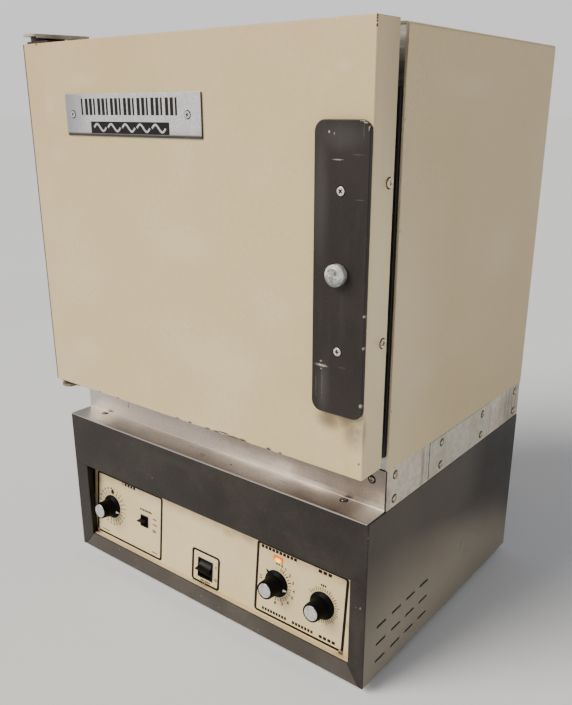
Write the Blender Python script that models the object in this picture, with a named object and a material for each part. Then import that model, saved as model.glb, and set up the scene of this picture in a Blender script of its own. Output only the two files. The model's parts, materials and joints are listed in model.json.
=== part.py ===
"""Benchtop laboratory oven: a beige heated cabinet with a hinged door on a dark control base.

Design coordinates are millimetres: X from the base's centre line, Y from the base's front face
(positive towards the back), Z from the underside of the base. The helpers turn them into metres,
and the empty "oven" shifts them so that the origin is at the centre of the footprint, under the feet.
"""

from math import cos, pi, radians, sin

import bmesh
import bpy
from mathutils import Matrix, Vector

MM = 0.001
GAP = 0.3      # between pieces that touch
SHEET = 1.2    # sheet-metal thickness

# Overall
HALF_WIDTH = 228.9
DEPTH = 359.5
BASE_TOP = 192.6                   # top edge of the dark base, under the ledge and the band
BAND_TOP = 237.2
CABINET_TOP = 635.1
CABINET_FRONT = 32.2
FOOT_HEIGHT = 8.0

# Door
DOOR_X = (-215.7, 234.3)
DOOR_Y = (-24.3, 9.0)
DOOR_Z = (251.5, CABINET_TOP)
HINGE = (-203.7, -12.3)            # X and Y of the hinge axis
HINGE_NOSE = 11.2                  # how far the brackets reach past the pin
BRACKET_RUN = 23.1                 # right-hand end of the brackets, from the pin
PIN_RADIUS = 4.0
PIN_CLEARANCE = 0.3
PULL_X, PULL_Z = 208.2, 437.8
PULL_FRONT = -38.8
HANDLE_X = (179.4, 234.7)
HANDLE_Z = (311.1, 560.9)
HANDLE_THICKNESS = 4.7
HANDLE_CORNER = 9.8
PLATE_X = (-148.5, 51.0)
PLATE_Z = (543.8, 583.6)

# Chamber
LINER_X = 162.8                    # outer half width
LINER_Z = (276.2, 561.8)
LINER_BACK = 312.0
BREAKER_X = 225.5
BREAKER_Z = (252.0, 585.8)
BREAKER_Y = (28.9, 31.9)
GASKET_X = (172.0, 190.0)
GASKET_Y = (9.6, 28.6)
GASKET_WIDTH = 18.0
SHELF_HEIGHTS = (380.0, 480.0)
RUNNER_HEIGHTS = (330.0, 380.0, 430.0, 480.0, 530.0)
HEATER_RADIUS = 3.3
HEATER_Z = 290.0
HEATER_ENDS = 125.0                # X of the two terminals
HEATER_PASSES = 6
VENT_Z = 520.0
VENT_RADIUS = 16.0
VENT_HOLES = 3
VENT_PLATE = (DEPTH + 0.3, DEPTH + 2.3)
SHUTTER_Y = (DEPTH + 2.6, DEPTH + 4.1)
SHUTTER_TAB_Y = DEPTH + 12.0

# Base
WINDOW_X = (-205.8, 210.0)
WINDOW_Z = (22.2, 123.9)
RETURN_DEPTH = 7.6                 # flanges round the window
PANEL_Y = (7.9, 9.1)               # front and back of the panel before it leans
PANEL_LEAN = 5.5                   # degrees, top edge back, about the bottom edge of the window
SLOT_STARTS = (24.3, 55.1, 85.2, 115.2)
SLOT_HEIGHTS = (60.3, 38.9, 17.5)
SLOT_LENGTH = 19.0
SLOT_RISE = 2.8

# Controls: X and Z on the panel before it leans
TIMER = (-175.4, 69.1)
TEMPERATURE = (105.3, 69.3)
OVER_TEMPERATURE = (168.0, 69.0)
KNOB_HEIGHT = 21.5
POWER_X, POWER_Z = (-15.0, 8.8), (31.2, 56.7)
# Levers: width, barrel radius, reach to the tip, tilt in degrees
POWER_LEVER = (19.6, 10.3, 14.6, 3.0)
FUNCTION_X, FUNCTION_Z = (-119.0, -105.3), (61.8, 77.2)
FUNCTION_LEVER = (10.2, 5.8, 15.3, 7.5)
BEZEL = 1.0                        # how far a switch's face overlaps its panel hole
PIVOT_DEPTH = 5.0                  # lever axis behind the panel
LAMP_X, LAMP_Z = (99.3, 112.6), (96.0, 102.8)
INLET_X, INLET_Z = 150.0, 60.0

# The shift from design coordinates to the row frame
FOOTPRINT_X = (-HALF_WIDTH, HANDLE_X[1])
FOOTPRINT_Y = (PULL_FRONT, SHUTTER_TAB_Y)
ORIGIN = Vector((-sum(FOOTPRINT_X) / 2, -sum(FOOTPRINT_Y) / 2, FOOT_HEIGHT))

BEIGE = ((0.58, 0.49, 0.35), 0.0, 0.45)
DARK = ((0.075, 0.065, 0.06), 0.0, 0.5)
CREAM = ((0.66, 0.55, 0.40), 0.0, 0.5)
STEEL = ((0.55, 0.53, 0.51), 1.0, 0.35)
STAINLESS = ((0.50, 0.46, 0.43), 1.0, 0.3)
GALVANISED = ((0.55, 0.53, 0.50), 1.0, 0.4)
ALUMINIUM = ((0.75, 0.75, 0.76), 1.0, 0.3)
RUBBER = ((0.02, 0.02, 0.02), 0.0, 0.7)
BLACK = ((0.02, 0.019, 0.018), 0.0, 0.4)
WOOL = ((0.65, 0.60, 0.45), 0.0, 0.95)
ORANGE = ((1.0, 0.35, 0.03), 0.0, 0.3)


# ---------------------------------------------------------------- shapes

def box(x, y, z, front_bevel=0.0):
    """A block between the given limits; front_bevel rounds the edges of its low-Y face."""
    shape = bmesh.new()
    bmesh.ops.create_cube(shape, size=1.0)
    size = Vector((x[1] - x[0], y[1] - y[0], z[1] - z[0]))
    middle = Vector((sum(x) / 2, sum(y) / 2, sum(z) / 2))
    shape.transform(Matrix.Translation(middle) @ Matrix.Diagonal((*size, 1.0)))
    if front_bevel:
        edges = [e for e in shape.edges if all(abs(v.co.y - y[0]) < 1e-6 for v in e.verts)]
        bmesh.ops.bevel(shape, geom=edges, offset=front_bevel, segments=2, profile=0.5,
                        affect="EDGES")
    return shape


def toward(axis):
    """The rotation that turns +Z to a named axis."""
    return {
        "X": Matrix.Rotation(pi / 2, 4, "Y"),
        "Y": Matrix.Rotation(-pi / 2, 4, "X"),
        "Z": Matrix.Identity(4),
    }[axis]


def turned(profile, axis, at, sides=24):
    """A solid of revolution: profile holds (radius, height) points up the axis, closed at both ends."""
    shape = bmesh.new()
    rings = []
    for radius, height in profile:
        ring = []
        for step in range(sides):
            angle = 2 * pi * step / sides
            ring.append(shape.verts.new((radius * cos(angle), radius * sin(angle), height)))
        rings.append(ring)
    for lower, upper in zip(rings, rings[1:]):
        for step in range(sides):
            after = (step + 1) % sides
            shape.faces.new((lower[step], lower[after], upper[after], upper[step]))
    shape.faces.new(tuple(reversed(rings[0])))
    shape.faces.new(rings[-1])
    shape.transform(Matrix.Translation(at) @ toward(axis))
    return shape


def rod(axis, at, radius, start, end, sides=16):
    """A round bar along an axis through at, from start to end on that axis."""
    return turned([(radius, start), (radius, end)], axis, at, sides)


def prism(outline, axis, start, end):
    """An outline extruded from start to end; its points are (Y, Z), (X, Z) or (X, Y) by axis."""
    spread = {
        "X": lambda a, b: (start, a, b),
        "Y": lambda a, b: (a, start, b),
        "Z": lambda a, b: (a, b, start),
    }[axis]
    step = {"X": Vector((1, 0, 0)), "Y": Vector((0, 1, 0)), "Z": Vector((0, 0, 1))}[axis]
    shape = bmesh.new()
    face = shape.faces.new([shape.verts.new(spread(a, b)) for a, b in outline])
    grown = bmesh.ops.extrude_face_region(shape, geom=[face])["geom"]
    moved = [item for item in grown if isinstance(item, bmesh.types.BMVert)]
    bmesh.ops.translate(shape, verts=moved, vec=step * (end - start))
    bmesh.ops.recalc_face_normals(shape, faces=shape.faces)
    return shape


def arc(centre, radius, first, last, steps):
    """Points on an arc between two angles in degrees."""
    angles = [radians(first + (last - first) * step / steps) for step in range(steps + 1)]
    return [(centre[0] + radius * cos(a), centre[1] + radius * sin(a)) for a in angles]


def rounded(x, z, radius, steps=5):
    """A rectangle's outline with rounded corners, anticlockwise."""
    corners = (
        (x[1] - radius, z[0] + radius, -90),
        (x[1] - radius, z[1] - radius, 0),
        (x[0] + radius, z[1] - radius, 90),
        (x[0] + radius, z[0] + radius, 180),
    )
    return [point for cx, cz, a in corners for point in arc((cx, cz), radius, a, a + 90, steps)]


def ring_box(outer_x, outer_z, inner_x, inner_z, y):
    """A rectangular frame seen from the front, as a body and the opening to cut from it."""
    body = box(outer_x, y, outer_z)
    hole = box(inner_x, (y[0] - 1, y[1] + 1), inner_z)
    return body, hole


# ---------------------------------------------------------------- objects

def colour_of(name, look):
    colour, metallic, roughness = look
    made = bpy.data.materials.new(name + "_finish")
    made.use_nodes = True
    shader = made.node_tree.nodes["Principled BSDF"]
    shader.inputs["Base Color"].default_value = (*colour, 1.0)
    shader.inputs["Metallic"].default_value = metallic
    shader.inputs["Roughness"].default_value = roughness
    return made


def mesh_object(name, shape, parent, origin):
    """A mesh object whose own origin is at a design point, hung on an empty."""
    shape.transform(Matrix.Scale(MM, 4) @ Matrix.Translation(-Vector(origin)))
    mesh = bpy.data.meshes.new(name)
    shape.to_mesh(mesh)
    shape.free()
    made = bpy.data.objects.new(name, mesh)
    bpy.context.scene.collection.objects.link(made)
    made.parent = parent
    made.location = (Vector(origin) - Vector(parent["at"])) * MM
    return made


def part(name, shapes, look, cut=(), add=(), parent=None, origin=(0.0, 0.0, 0.0)):
    """One named piece: the shapes joined into one body, less the cuts, with the last ones added."""
    parent = parent or OVEN
    body = mesh_object(name, shapes[0], parent, origin)
    steps = [("UNION", shape) for shape in shapes[1:]]
    steps += [("DIFFERENCE", shape) for shape in cut]
    steps += [("UNION", shape) for shape in add]
    for number, (operation, shape) in enumerate(steps, 1):
        helper = mesh_object(f"{name}_{operation.lower()}_{number}", shape, parent, origin)
        helper.hide_render = True
        helper.display_type = "WIRE"
        step = body.modifiers.new(f"{operation.title()} {number}", "BOOLEAN")
        step.operation = operation
        step.solver = "EXACT"
        step.object = helper
    body.data.materials.append(colour_of(name, look))
    body.data.shade_smooth()
    body.data.set_sharp_from_angle(angle=radians(30))
    return body


def empty(name, at, parent=None):
    """An empty at a design point, which it keeps so that its children can be placed."""
    made = bpy.data.objects.new(name, None)
    bpy.context.scene.collection.objects.link(made)
    made["at"] = at
    if parent:
        made.parent = parent
        made.location = (Vector(at) - Vector(parent["at"])) * MM
    else:
        made.location = ORIGIN * MM
    return made


def inset(limits, by):
    return limits[0] + by, limits[1] - by


def joined(shapes):
    """Several separate closed shapes in one mesh, for use as a cutter."""
    whole = bmesh.new()
    for shape in shapes:
        mesh = bpy.data.meshes.new("joined")
        shape.to_mesh(mesh)
        shape.free()
        whole.from_mesh(mesh)
        bpy.data.meshes.remove(mesh)
    return whole


# ---------------------------------------------------------------- cabinet

def cabinet():
    side = HALF_WIDTH
    inside = side - SHEET
    back = DEPTH - 0.6
    part("cabinet_wrap",
         [box((-side, side), (CABINET_FRONT, back), (BAND_TOP + GAP, CABINET_TOP))], BEIGE,
         [box((-inside, inside), (0, DEPTH + 9), (0, CABINET_TOP - SHEET))])
    reach = inside - GAP
    floor = BAND_TOP + GAP
    ceiling = CABINET_TOP - SHEET - GAP
    part("cabinet_back",
         [box((-reach, reach), (back - SHEET, back), (floor, ceiling))], BEIGE,
         [rod("Y", (0, 0, VENT_Z), VENT_RADIUS + 1, back - 9, back + 9, 24)])
    part("cabinet_floor",
         [box((-reach, reach), (CABINET_FRONT + 2, back - SHEET - GAP), (floor, floor + SHEET))],
         STEEL)
    opening_x = (-LINER_X - GAP, LINER_X + GAP)
    opening_z = (LINER_Z[0] - GAP, LINER_Z[1] + GAP)
    body, hole = ring_box((-reach, reach), (floor, ceiling), opening_x, opening_z,
                          (CABINET_FRONT + 0.2, CABINET_FRONT + 1.7))
    part("face_frame", [body], STEEL, [hole])
    body, hole = ring_box((-BREAKER_X, BREAKER_X), BREAKER_Z, opening_x, opening_z, BREAKER_Y)
    part("breaker_frame", [body], BLACK, [hole])
    gasket_z = (LINER_Z[0] - 18.0, LINER_Z[1] + 18.0)
    body, hole = ring_box(
        (-GASKET_X[1], GASKET_X[1]), gasket_z, (-GASKET_X[0], GASKET_X[0]),
        (gasket_z[0] + GASKET_WIDTH, gasket_z[1] - GASKET_WIDTH), GASKET_Y)
    part("door_gasket", [body], RUBBER, [hole])


def insulation():
    around = 0.5
    bay_x = (-LINER_X - around, LINER_X + around)
    bay_z = (LINER_Z[0] - around, LINER_Z[1] + around)
    holes = [box(bay_x, (CABINET_FRONT, LINER_BACK + around), bay_z)]
    holes.append(rod("Y", (0, 0, VENT_Z), VENT_RADIUS + 1, LINER_BACK - 9, DEPTH, 24))
    for x in (-HEATER_ENDS, HEATER_ENDS):
        holes.append(rod("Y", (x, 0, HEATER_Z), HEATER_RADIUS + 0.7, LINER_BACK - 9, 340, 12))
    side = HALF_WIDTH - SHEET - 0.8
    part("insulation_jacket",
         [box((-side, side), (CABINET_FRONT + 2, DEPTH - 2.2), (BAND_TOP + 2, CABINET_TOP - 1.9))],
         WOOL, holes)


def chamber():
    wall = SHEET
    inner_x = (-LINER_X + wall, LINER_X - wall)
    inner_z = (LINER_Z[0] + wall, LINER_Z[1] - wall)
    holes = [box(inner_x, (0, LINER_BACK - wall), inner_z)]
    holes.append(rod("Y", (0, 0, VENT_Z), VENT_RADIUS + 0.5, LINER_BACK - 9, LINER_BACK + 9, 24))
    for x in (-HEATER_ENDS, HEATER_ENDS):
        holes.append(rod("Y", (x, 0, HEATER_Z), HEATER_RADIUS + 0.5, LINER_BACK - 9,
                         LINER_BACK + 9, 12))
    part("chamber_liner",
         [box((-LINER_X, LINER_X), (BREAKER_Y[0] + 0.1, LINER_BACK), LINER_Z)], STEEL, holes)

    half = LINER_X - 4.8
    plate_z = (303.0, 303.0 + SHEET)
    foot = LINER_Z[0] + wall + GAP
    slots = [
        box((x - 22, x + 22), (y, y + 7), (plate_z[0] - 3, plate_z[1] + 3))
        for x in (-104, -35, 35, 104) for y in (70, 125, 180, 235)
    ]
    part("chamber_floor",
         [box((-half, half), (36, 303), (foot, plate_z[1]))], STEEL,
         [box((-half + SHEET, half - SHEET), (30, 309), (foot - 1, plate_z[0])), joined(slots)])

    for side, name in ((-1, "shelf_support_left"), (1, "shelf_support_right")):
        outer = side * (LINER_X - wall - GAP)
        web = sorted((outer, outer - side))
        ledges = [
            box(sorted((outer, outer - side * 9)), (45, 300), (z, z + 1))
            for z in RUNNER_HEIGHTS
        ]
        part(name, [box(web, (45, 300), (306, 545)), *ledges], STEEL)

    for name, height in zip(("shelf_lower", "shelf_upper"), SHELF_HEIGHTS):
        z = (height + 1 + GAP, height + 5 + GAP)
        pitch = 24.0
        holes = [
            box((x * pitch - 10, x * pitch + 10), y, (z[0] - 2, z[1] + 2))
            for x in range(-6, 7) for y in ((56, 170), (176, 290))
        ]
        part(name, [box((-159, 159), (50, 296), z)], STEEL, [joined(holes)])

    part("thermostat_bulb", [rod("X", (0, 302, 545), 3.2, -70, 20, 12)], STEEL)


def heater():
    """A tube that runs back and forth under the chamber floor and leaves through the back wall."""
    spacing = 2 * HEATER_ENDS / (HEATER_PASSES - 1)
    bend = spacing / 2
    front, rear, out = 70.0, 270.0, 330.0
    route = [(-HEATER_ENDS, out)]
    for number in range(HEATER_PASSES - 1):
        middle = -HEATER_ENDS + bend + number * spacing
        if number % 2 == 0:
            route += arc((middle, front), bend, 180, 360, 6)
        else:
            route += arc((middle, rear), bend, 180, 0, 6)
    route.append((HEATER_ENDS, out))
    curve = bpy.data.curves.new("heater_element", "CURVE")
    curve.dimensions = "3D"
    curve.bevel_depth = HEATER_RADIUS * MM
    curve.bevel_resolution = 2
    curve.use_fill_caps = True
    spline = curve.splines.new("POLY")
    spline.points.add(len(route) - 1)
    for point, (x, y) in zip(spline.points, route):
        point.co = (x * MM, y * MM, HEATER_Z * MM, 1)
    made = bpy.data.objects.new("heater_element", curve)
    bpy.context.scene.collection.objects.link(made)
    made.parent = OVEN
    curve.materials.append(colour_of("heater_element", STEEL))


def exhaust():
    """A tube from the chamber's back wall to a holed end plate, and a shutter that turns over it."""
    middle = (0, 0, VENT_Z)
    collar = turned([
        (VENT_RADIUS, LINER_BACK - 3), (VENT_RADIUS, VENT_PLATE[0]),
        (30, VENT_PLATE[0]), (30, VENT_PLATE[1]),
    ], "Y", middle, 32)
    bore = rod("Y", middle, VENT_RADIUS - 1.5, LINER_BACK - 9, VENT_PLATE[0] + 0.5, 24)

    def openings(y):
        turns = [radians(90 + 360 * n / VENT_HOLES) for n in range(VENT_HOLES)]
        return joined([
            rod("Y", (8.5 * cos(a), 0, VENT_Z + 8.5 * sin(a)), 5.0, y[0] - 2, y[1] + 2, 14)
            for a in turns
        ])

    pin_hole = rod("Y", middle, 2.0, VENT_PLATE[0] - 9, VENT_PLATE[1] + 9, 12)
    part("exhaust_vent", [collar], ALUMINIUM, [bore, openings(VENT_PLATE), pin_hole])
    disc = rod("Y", middle, 24, *SHUTTER_Y, 32)
    tab = box((-2, 2), (SHUTTER_Y[0] + 0.4, SHUTTER_TAB_Y), (VENT_Z - 22, VENT_Z - 14))
    axle = rod("Y", middle, 1.6, VENT_PLATE[0] - 1.4, SHUTTER_Y[1] - 0.5, 12)
    part("vent_shutter", [disc, tab, axle], ALUMINIUM, [openings(SHUTTER_Y)], origin=middle)


# ---------------------------------------------------------------- door

def bracket(nose, y_back):
    """Outline of a hinge bracket seen from above: its nose, then a straight run to the back."""
    return nose + [(HINGE[0] + BRACKET_RUN, y_back), (HINGE[0] - HINGE_NOSE, y_back)]


def hinges():
    x, y = HINGE
    upper = (DOOR_Z[1] + 7.5, DOOR_Z[1] + 10.1)
    step = CABINET_FRONT + 3.0
    seat = (CABINET_TOP + GAP, CABINET_TOP + GAP + 2.4)
    across = (x - HINGE_NOSE, x + BRACKET_RUN)
    corner = arc((x - HINGE_NOSE + 2, y - HINGE_NOSE + 2), 2, 180, 270, 3)
    shoulder = (x + 8.4, y - 7.1)
    arm = prism(bracket([*corner, (x + 3.2, y - HINGE_NOSE), shoulder], step + 3), "Z", *upper)
    riser = box(across, (step + 0.6, step + 3), (seat[0], upper[1]))
    heel = box(across, (step + 0.6, step + 40), seat)
    lip = prism([shoulder, (across[1], step), (across[1] - 1.2, step),
                 (shoulder[0] - 1.2, shoulder[1])], "Z", upper[0] - 1.6, upper[0] + 1)
    pin = rod("Z", (x, y, 0), PIN_RADIUS, DOOR_Z[1] + GAP, upper[1] + 0.4)
    part("upper_hinge_bracket", [arm, riser, heel, lip, pin], DARK)

    lower = (DOOR_Z[0] - 8.2, DOOR_Z[0] - 5.6)
    wall = (BREAKER_Y[0] + 0.4, BREAKER_Y[1])
    arm = prism(bracket(arc((x, y), HINGE_NOSE, 180, 320, 9), wall[1]), "Z", *lower)
    tab = box(across, wall, (BAND_TOP + 1, BREAKER_Z[0] - GAP))
    pin = rod("Z", (x, y, 0), PIN_RADIUS, lower[0] - 0.4, DOOR_Z[0] - GAP)
    part("lower_hinge_bracket", [arm, tab, pin], STEEL)

    hole = PIN_RADIUS + PIN_CLEARANCE
    leaf_x = (DOOR_X[0] + 2.5, x + 30)
    leaf_y = (DOOR_Y[0] + 2.5, DOOR_Y[1] - 2)
    top_leaf = (DOOR_Z[1] + GAP, DOOR_Z[1] + GAP + 2)
    low_leaf = (DOOR_Z[0] - GAP - 2, DOOR_Z[0] - GAP)
    for name, z in (("upper_hinge_leaf", top_leaf), ("lower_hinge_leaf", low_leaf)):
        part(name, [prism(rounded(leaf_x, leaf_y, 4, 3), "Z", *z)], STEEL,
             [rod("Z", (x, y, 0), hole, z[0] - 9, z[1] + 9)], parent=DOOR)
    for name, z in (("upper_hinge_bush", (top_leaf[1] + GAP, upper[0] - GAP)),
                    ("lower_hinge_bush", (lower[1] + GAP, low_leaf[0] - GAP))):
        part(name, [rod("Z", (x, y, 0), 7.5, *z, 20)], BLACK,
             [rod("Z", (x, y, 0), hole, z[0] - 9, z[1] + 9)], parent=DOOR)


def door():
    inner_x = (DOOR_X[0] + SHEET, DOOR_X[1] - SHEET)
    inner_z = (DOOR_Z[0] + SHEET, DOOR_Z[1] - SHEET)
    part("door_shell", [box(DOOR_X, DOOR_Y, DOOR_Z, front_bevel=1.6)], BEIGE,
         [box(inner_x, (DOOR_Y[0] + SHEET, DOOR_Y[1] + 9), inner_z)], parent=DOOR)
    panel_y = (DOOR_Y[1] - 1.4, DOOR_Y[1] - 0.2)
    panel = box((inner_x[0] + GAP, inner_x[1] - GAP), panel_y, (inner_z[0] + GAP, inner_z[1] - GAP))
    plug_x, plug_z = (-160.0, 160.0), (LINER_Z[0] + 12.0, LINER_Z[1] - 12.0)
    plug = box(plug_x, (panel_y[0], 20.0), plug_z)
    hollow = box((plug_x[0] + SHEET, plug_x[1] - SHEET), (panel_y[0] - 1, 20.0 - SHEET),
                 (plug_z[0] + SHEET, plug_z[1] - SHEET))
    part("door_inner_panel", [panel, plug], STEEL, [hollow], parent=DOOR)
    part("door_insulation",
         [box((inner_x[0] + 0.6, inner_x[1] - 0.6), (DOOR_Y[0] + SHEET + 0.4, panel_y[0] - 0.4),
              (inner_z[0] + 0.6, inner_z[1] - 0.6))], WOOL, parent=DOOR)

    back = DOOR_Y[0] - GAP
    front = back - HANDLE_THICKNESS
    part("handle_plate", [prism(rounded(HANDLE_X, HANDLE_Z, HANDLE_CORNER), "Y", front, back)],
         DARK, parent=DOOR)
    reach = front - GAP - PULL_FRONT
    pull = turned([
        (7.0, 0), (7.0, 1.4), (9.0, 2.0), (9.5, 2.6), (9.5, reach - 0.9), (8.8, reach),
    ], "Y", (0, 0, 0), 28)
    pull.transform(Matrix.Translation((PULL_X, front - GAP, PULL_Z)) @ Matrix.Rotation(pi, 4, "Z"))
    part("pull_knob", [pull], ALUMINIUM, parent=DOOR)
    part("nameplate", [box(PLATE_X, (back - 1.2, back), PLATE_Z)], ALUMINIUM, parent=DOOR)
    part("catch_strike", [box((206.5, 221.5), (DOOR_Y[1] + GAP, DOOR_Y[1] + 1.5), (362, 388))],
         STEEL, parent=DOOR)
    part("magnetic_catch",
         [box((204, 224), (DOOR_Y[1] + 2.0, BREAKER_Y[0] - GAP), (357, 393))], BLACK)


# ---------------------------------------------------------------- band and ledge

def band():
    back = DEPTH - 0.9
    z = (BASE_TOP + GAP, BAND_TOP - GAP)
    outer = HALF_WIDTH - 0.6
    for side, name in ((-1, "band_left"), (1, "band_right")):
        x = sorted((side * outer, side * (outer - SHEET)))
        part(name, [box(x, (CABINET_FRONT + 0.8, back), z)], GALVANISED)
    reach = outer - SHEET - GAP
    part("band_rear", [box((-reach, reach), (back - SHEET, back), z)], GALVANISED)
    part("base_deck",
         [box((-reach, reach), (CABINET_FRONT, DEPTH - 2.4), (BASE_TOP, BASE_TOP + SHEET))],
         GALVANISED)
    riser = CABINET_FRONT - GAP
    low = BASE_TOP + GAP
    ledge = [
        (-0.3, low), (riser, low), (riser, BAND_TOP), (riser - 1, BAND_TOP),
        (riser - 1, low + SHEET), (-0.3, low + SHEET),
    ]
    part("ledge_trim", [prism(ledge, "X", -HALF_WIDTH, HALF_WIDTH)], STAINLESS)


# ---------------------------------------------------------------- base

def slot_cutter(x):
    return joined([
        box(x, (y, y + SLOT_LENGTH), (z, z + SLOT_RISE))
        for y in SLOT_STARTS for z in SLOT_HEIGHTS
    ])


def base():
    back = DEPTH - 0.6
    inside = HALF_WIDTH - SHEET
    fascia_back = SHEET + GAP
    rear_slots = [
        box((x, x + 3), (back - 5, back + 5), (100, 150)) for x in range(-70, 71, 20)
    ]
    inlet_hole = box((INLET_X - 14.5, INLET_X + 14.5), (back - 5, back + 5),
                     (INLET_Z - 11, INLET_Z + 11))
    part("base_wrap",
         [box((-HALF_WIDTH, HALF_WIDTH), (fascia_back, back), (0, BASE_TOP))], DARK,
         [box((-inside, inside), (-9, back - SHEET), (-9, BASE_TOP + 9)),
          slot_cutter((-HALF_WIDTH - 3, -inside + 3)), slot_cutter((inside - 3, HALF_WIDTH + 3)),
          joined(rear_slots), inlet_hole])
    reach = inside - GAP
    part("base_bottom",
         [box((-reach, reach), (fascia_back, back - SHEET - GAP), (0, SHEET))], GALVANISED)

    head_z = (WINDOW_Z[1] + 0.2, BASE_TOP)
    part("fascia_header",
         [box((-HALF_WIDTH, HALF_WIDTH), (0, SHEET), head_z),
          box((-reach, reach), (0, RETURN_DEPTH), (head_z[0], head_z[0] + SHEET)),
          box((-reach, reach), (0, 20), (head_z[1] - SHEET, head_z[1]))], DARK)

    stile_top = head_z[0] - GAP
    low_z = WINDOW_Z[0]
    for side, name, inner in ((-1, "stile_left", WINDOW_X[0]), (1, "stile_right", WINDOW_X[1])):
        outer = side * HALF_WIDTH
        foot = outer - side * 5
        face = prism([(inner, low_z), (foot, 0), (outer, 0), (outer, stile_top),
                      (inner, stile_top)], "Y", 0, SHEET)
        flange_x = sorted((inner, inner + side * SHEET))
        flange = box(flange_x, (0, RETURN_DEPTH), (low_z + SHEET, stile_top))
        part(name, [face, flange], DARK)
    joint = 0.5
    left, right = WINDOW_X
    rail = prism([(left + joint, low_z), (-HALF_WIDTH + 5 + joint, 0),
                  (HALF_WIDTH - 5 - joint, 0), (right - joint, low_z)], "Y", 0, SHEET)
    flange = box((left + joint, right - joint), (0, RETURN_DEPTH), (low_z - SHEET, low_z))
    part("bottom_rail", [rail, flange], DARK)

    number = 0
    for side_y in (42.0, DEPTH - 42.0):
        for side_x in (-185.0, 185.0):
            number += 1
            foot = turned([(9.5, -FOOT_HEIGHT), (11.0, -FOOT_HEIGHT + 2), (11.0, -GAP)], "Z",
                          (side_x, side_y, 0), 20)
            part(f"foot_{number}", [foot], RUBBER)


# ---------------------------------------------------------------- controls

def knob(name, at):
    """Skirted knob with a spun cap; its spindle goes back through the panel."""
    front = PANEL_Y[0] - GAP
    profile = [
        (3.0, -11.0), (3.0, 0), (15.75, 0), (15.75, 1.4), (14.6, 3.2), (11.3, 4.4),
        (10.2, 16.6), (9.25, 17.0), (9.25, 19.8), (8.6, KNOB_HEIGHT - GAP),
    ]
    shape = turned(profile, "Y", (0, 0, 0), 28)
    middle = (at[0], front, at[1])
    shape.transform(Matrix.Translation(middle) @ Matrix.Rotation(pi, 4, "Z"))
    part(name, [shape], BLACK, parent=PANEL, origin=middle)


def spindle_bore(at):
    return rod("Y", (at[0], 0, at[1]), 3.5, PANEL_Y[1] - 5, PANEL_Y[1] + 12, 14)


def rocker(name, x, z, width, barrel, reach, tilt):
    """A switch lever: a barrel on a level axis with a hollow-faced wedge that ends in a thin tip."""
    pivot = (sum(x) / 2, PANEL_Y[1] + PIVOT_DEPTH, sum(z) / 2)
    edge = 0.5
    root = (barrel * cos(radians(125)), barrel * sin(radians(125)))
    waist = (-0.55 * reach, 0.12 * reach)
    face = []
    for step in range(7):
        t = step / 6
        face.append(tuple((1 - t) ** 2 * root[i] + 2 * t * (1 - t) * waist[i]
                          + t * t * (-reach, edge)[i] for i in (0, 1)))
    below = [(a, -b) for a, b in reversed(face)]
    behind = arc((0, 0), barrel, -125, 125, 18)[1:-1]
    shape = prism(face + below + behind, "X", -width / 2, width / 2)
    shape.transform(Matrix.Translation(pivot) @ Matrix.Rotation(radians(-tilt), 4, "X"))
    part(name, [shape], BLACK, parent=PANEL, origin=pivot)


def switch_body(name, x, z, width, barrel):
    """A housing with a thin face in front of the panel and a well for the lever."""
    behind = PANEL_Y[1]
    core_x, core_z = inset(x, BEZEL), inset(z, BEZEL)
    depth = PIVOT_DEPTH + barrel + 1.0
    face = box(x, (PANEL_Y[0] - 1.3, PANEL_Y[0] - GAP), z)
    core = box(core_x, (PANEL_Y[0] - 1.0, behind + depth + 2.5), core_z)
    middle = sum(x) / 2
    well = box((middle - width / 2 - GAP, middle + width / 2 + GAP),
               (PANEL_Y[0] - 9, behind + depth), inset(z, BEZEL + 0.6))
    part(name, [core, face], BLACK, [well], parent=PANEL)


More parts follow.
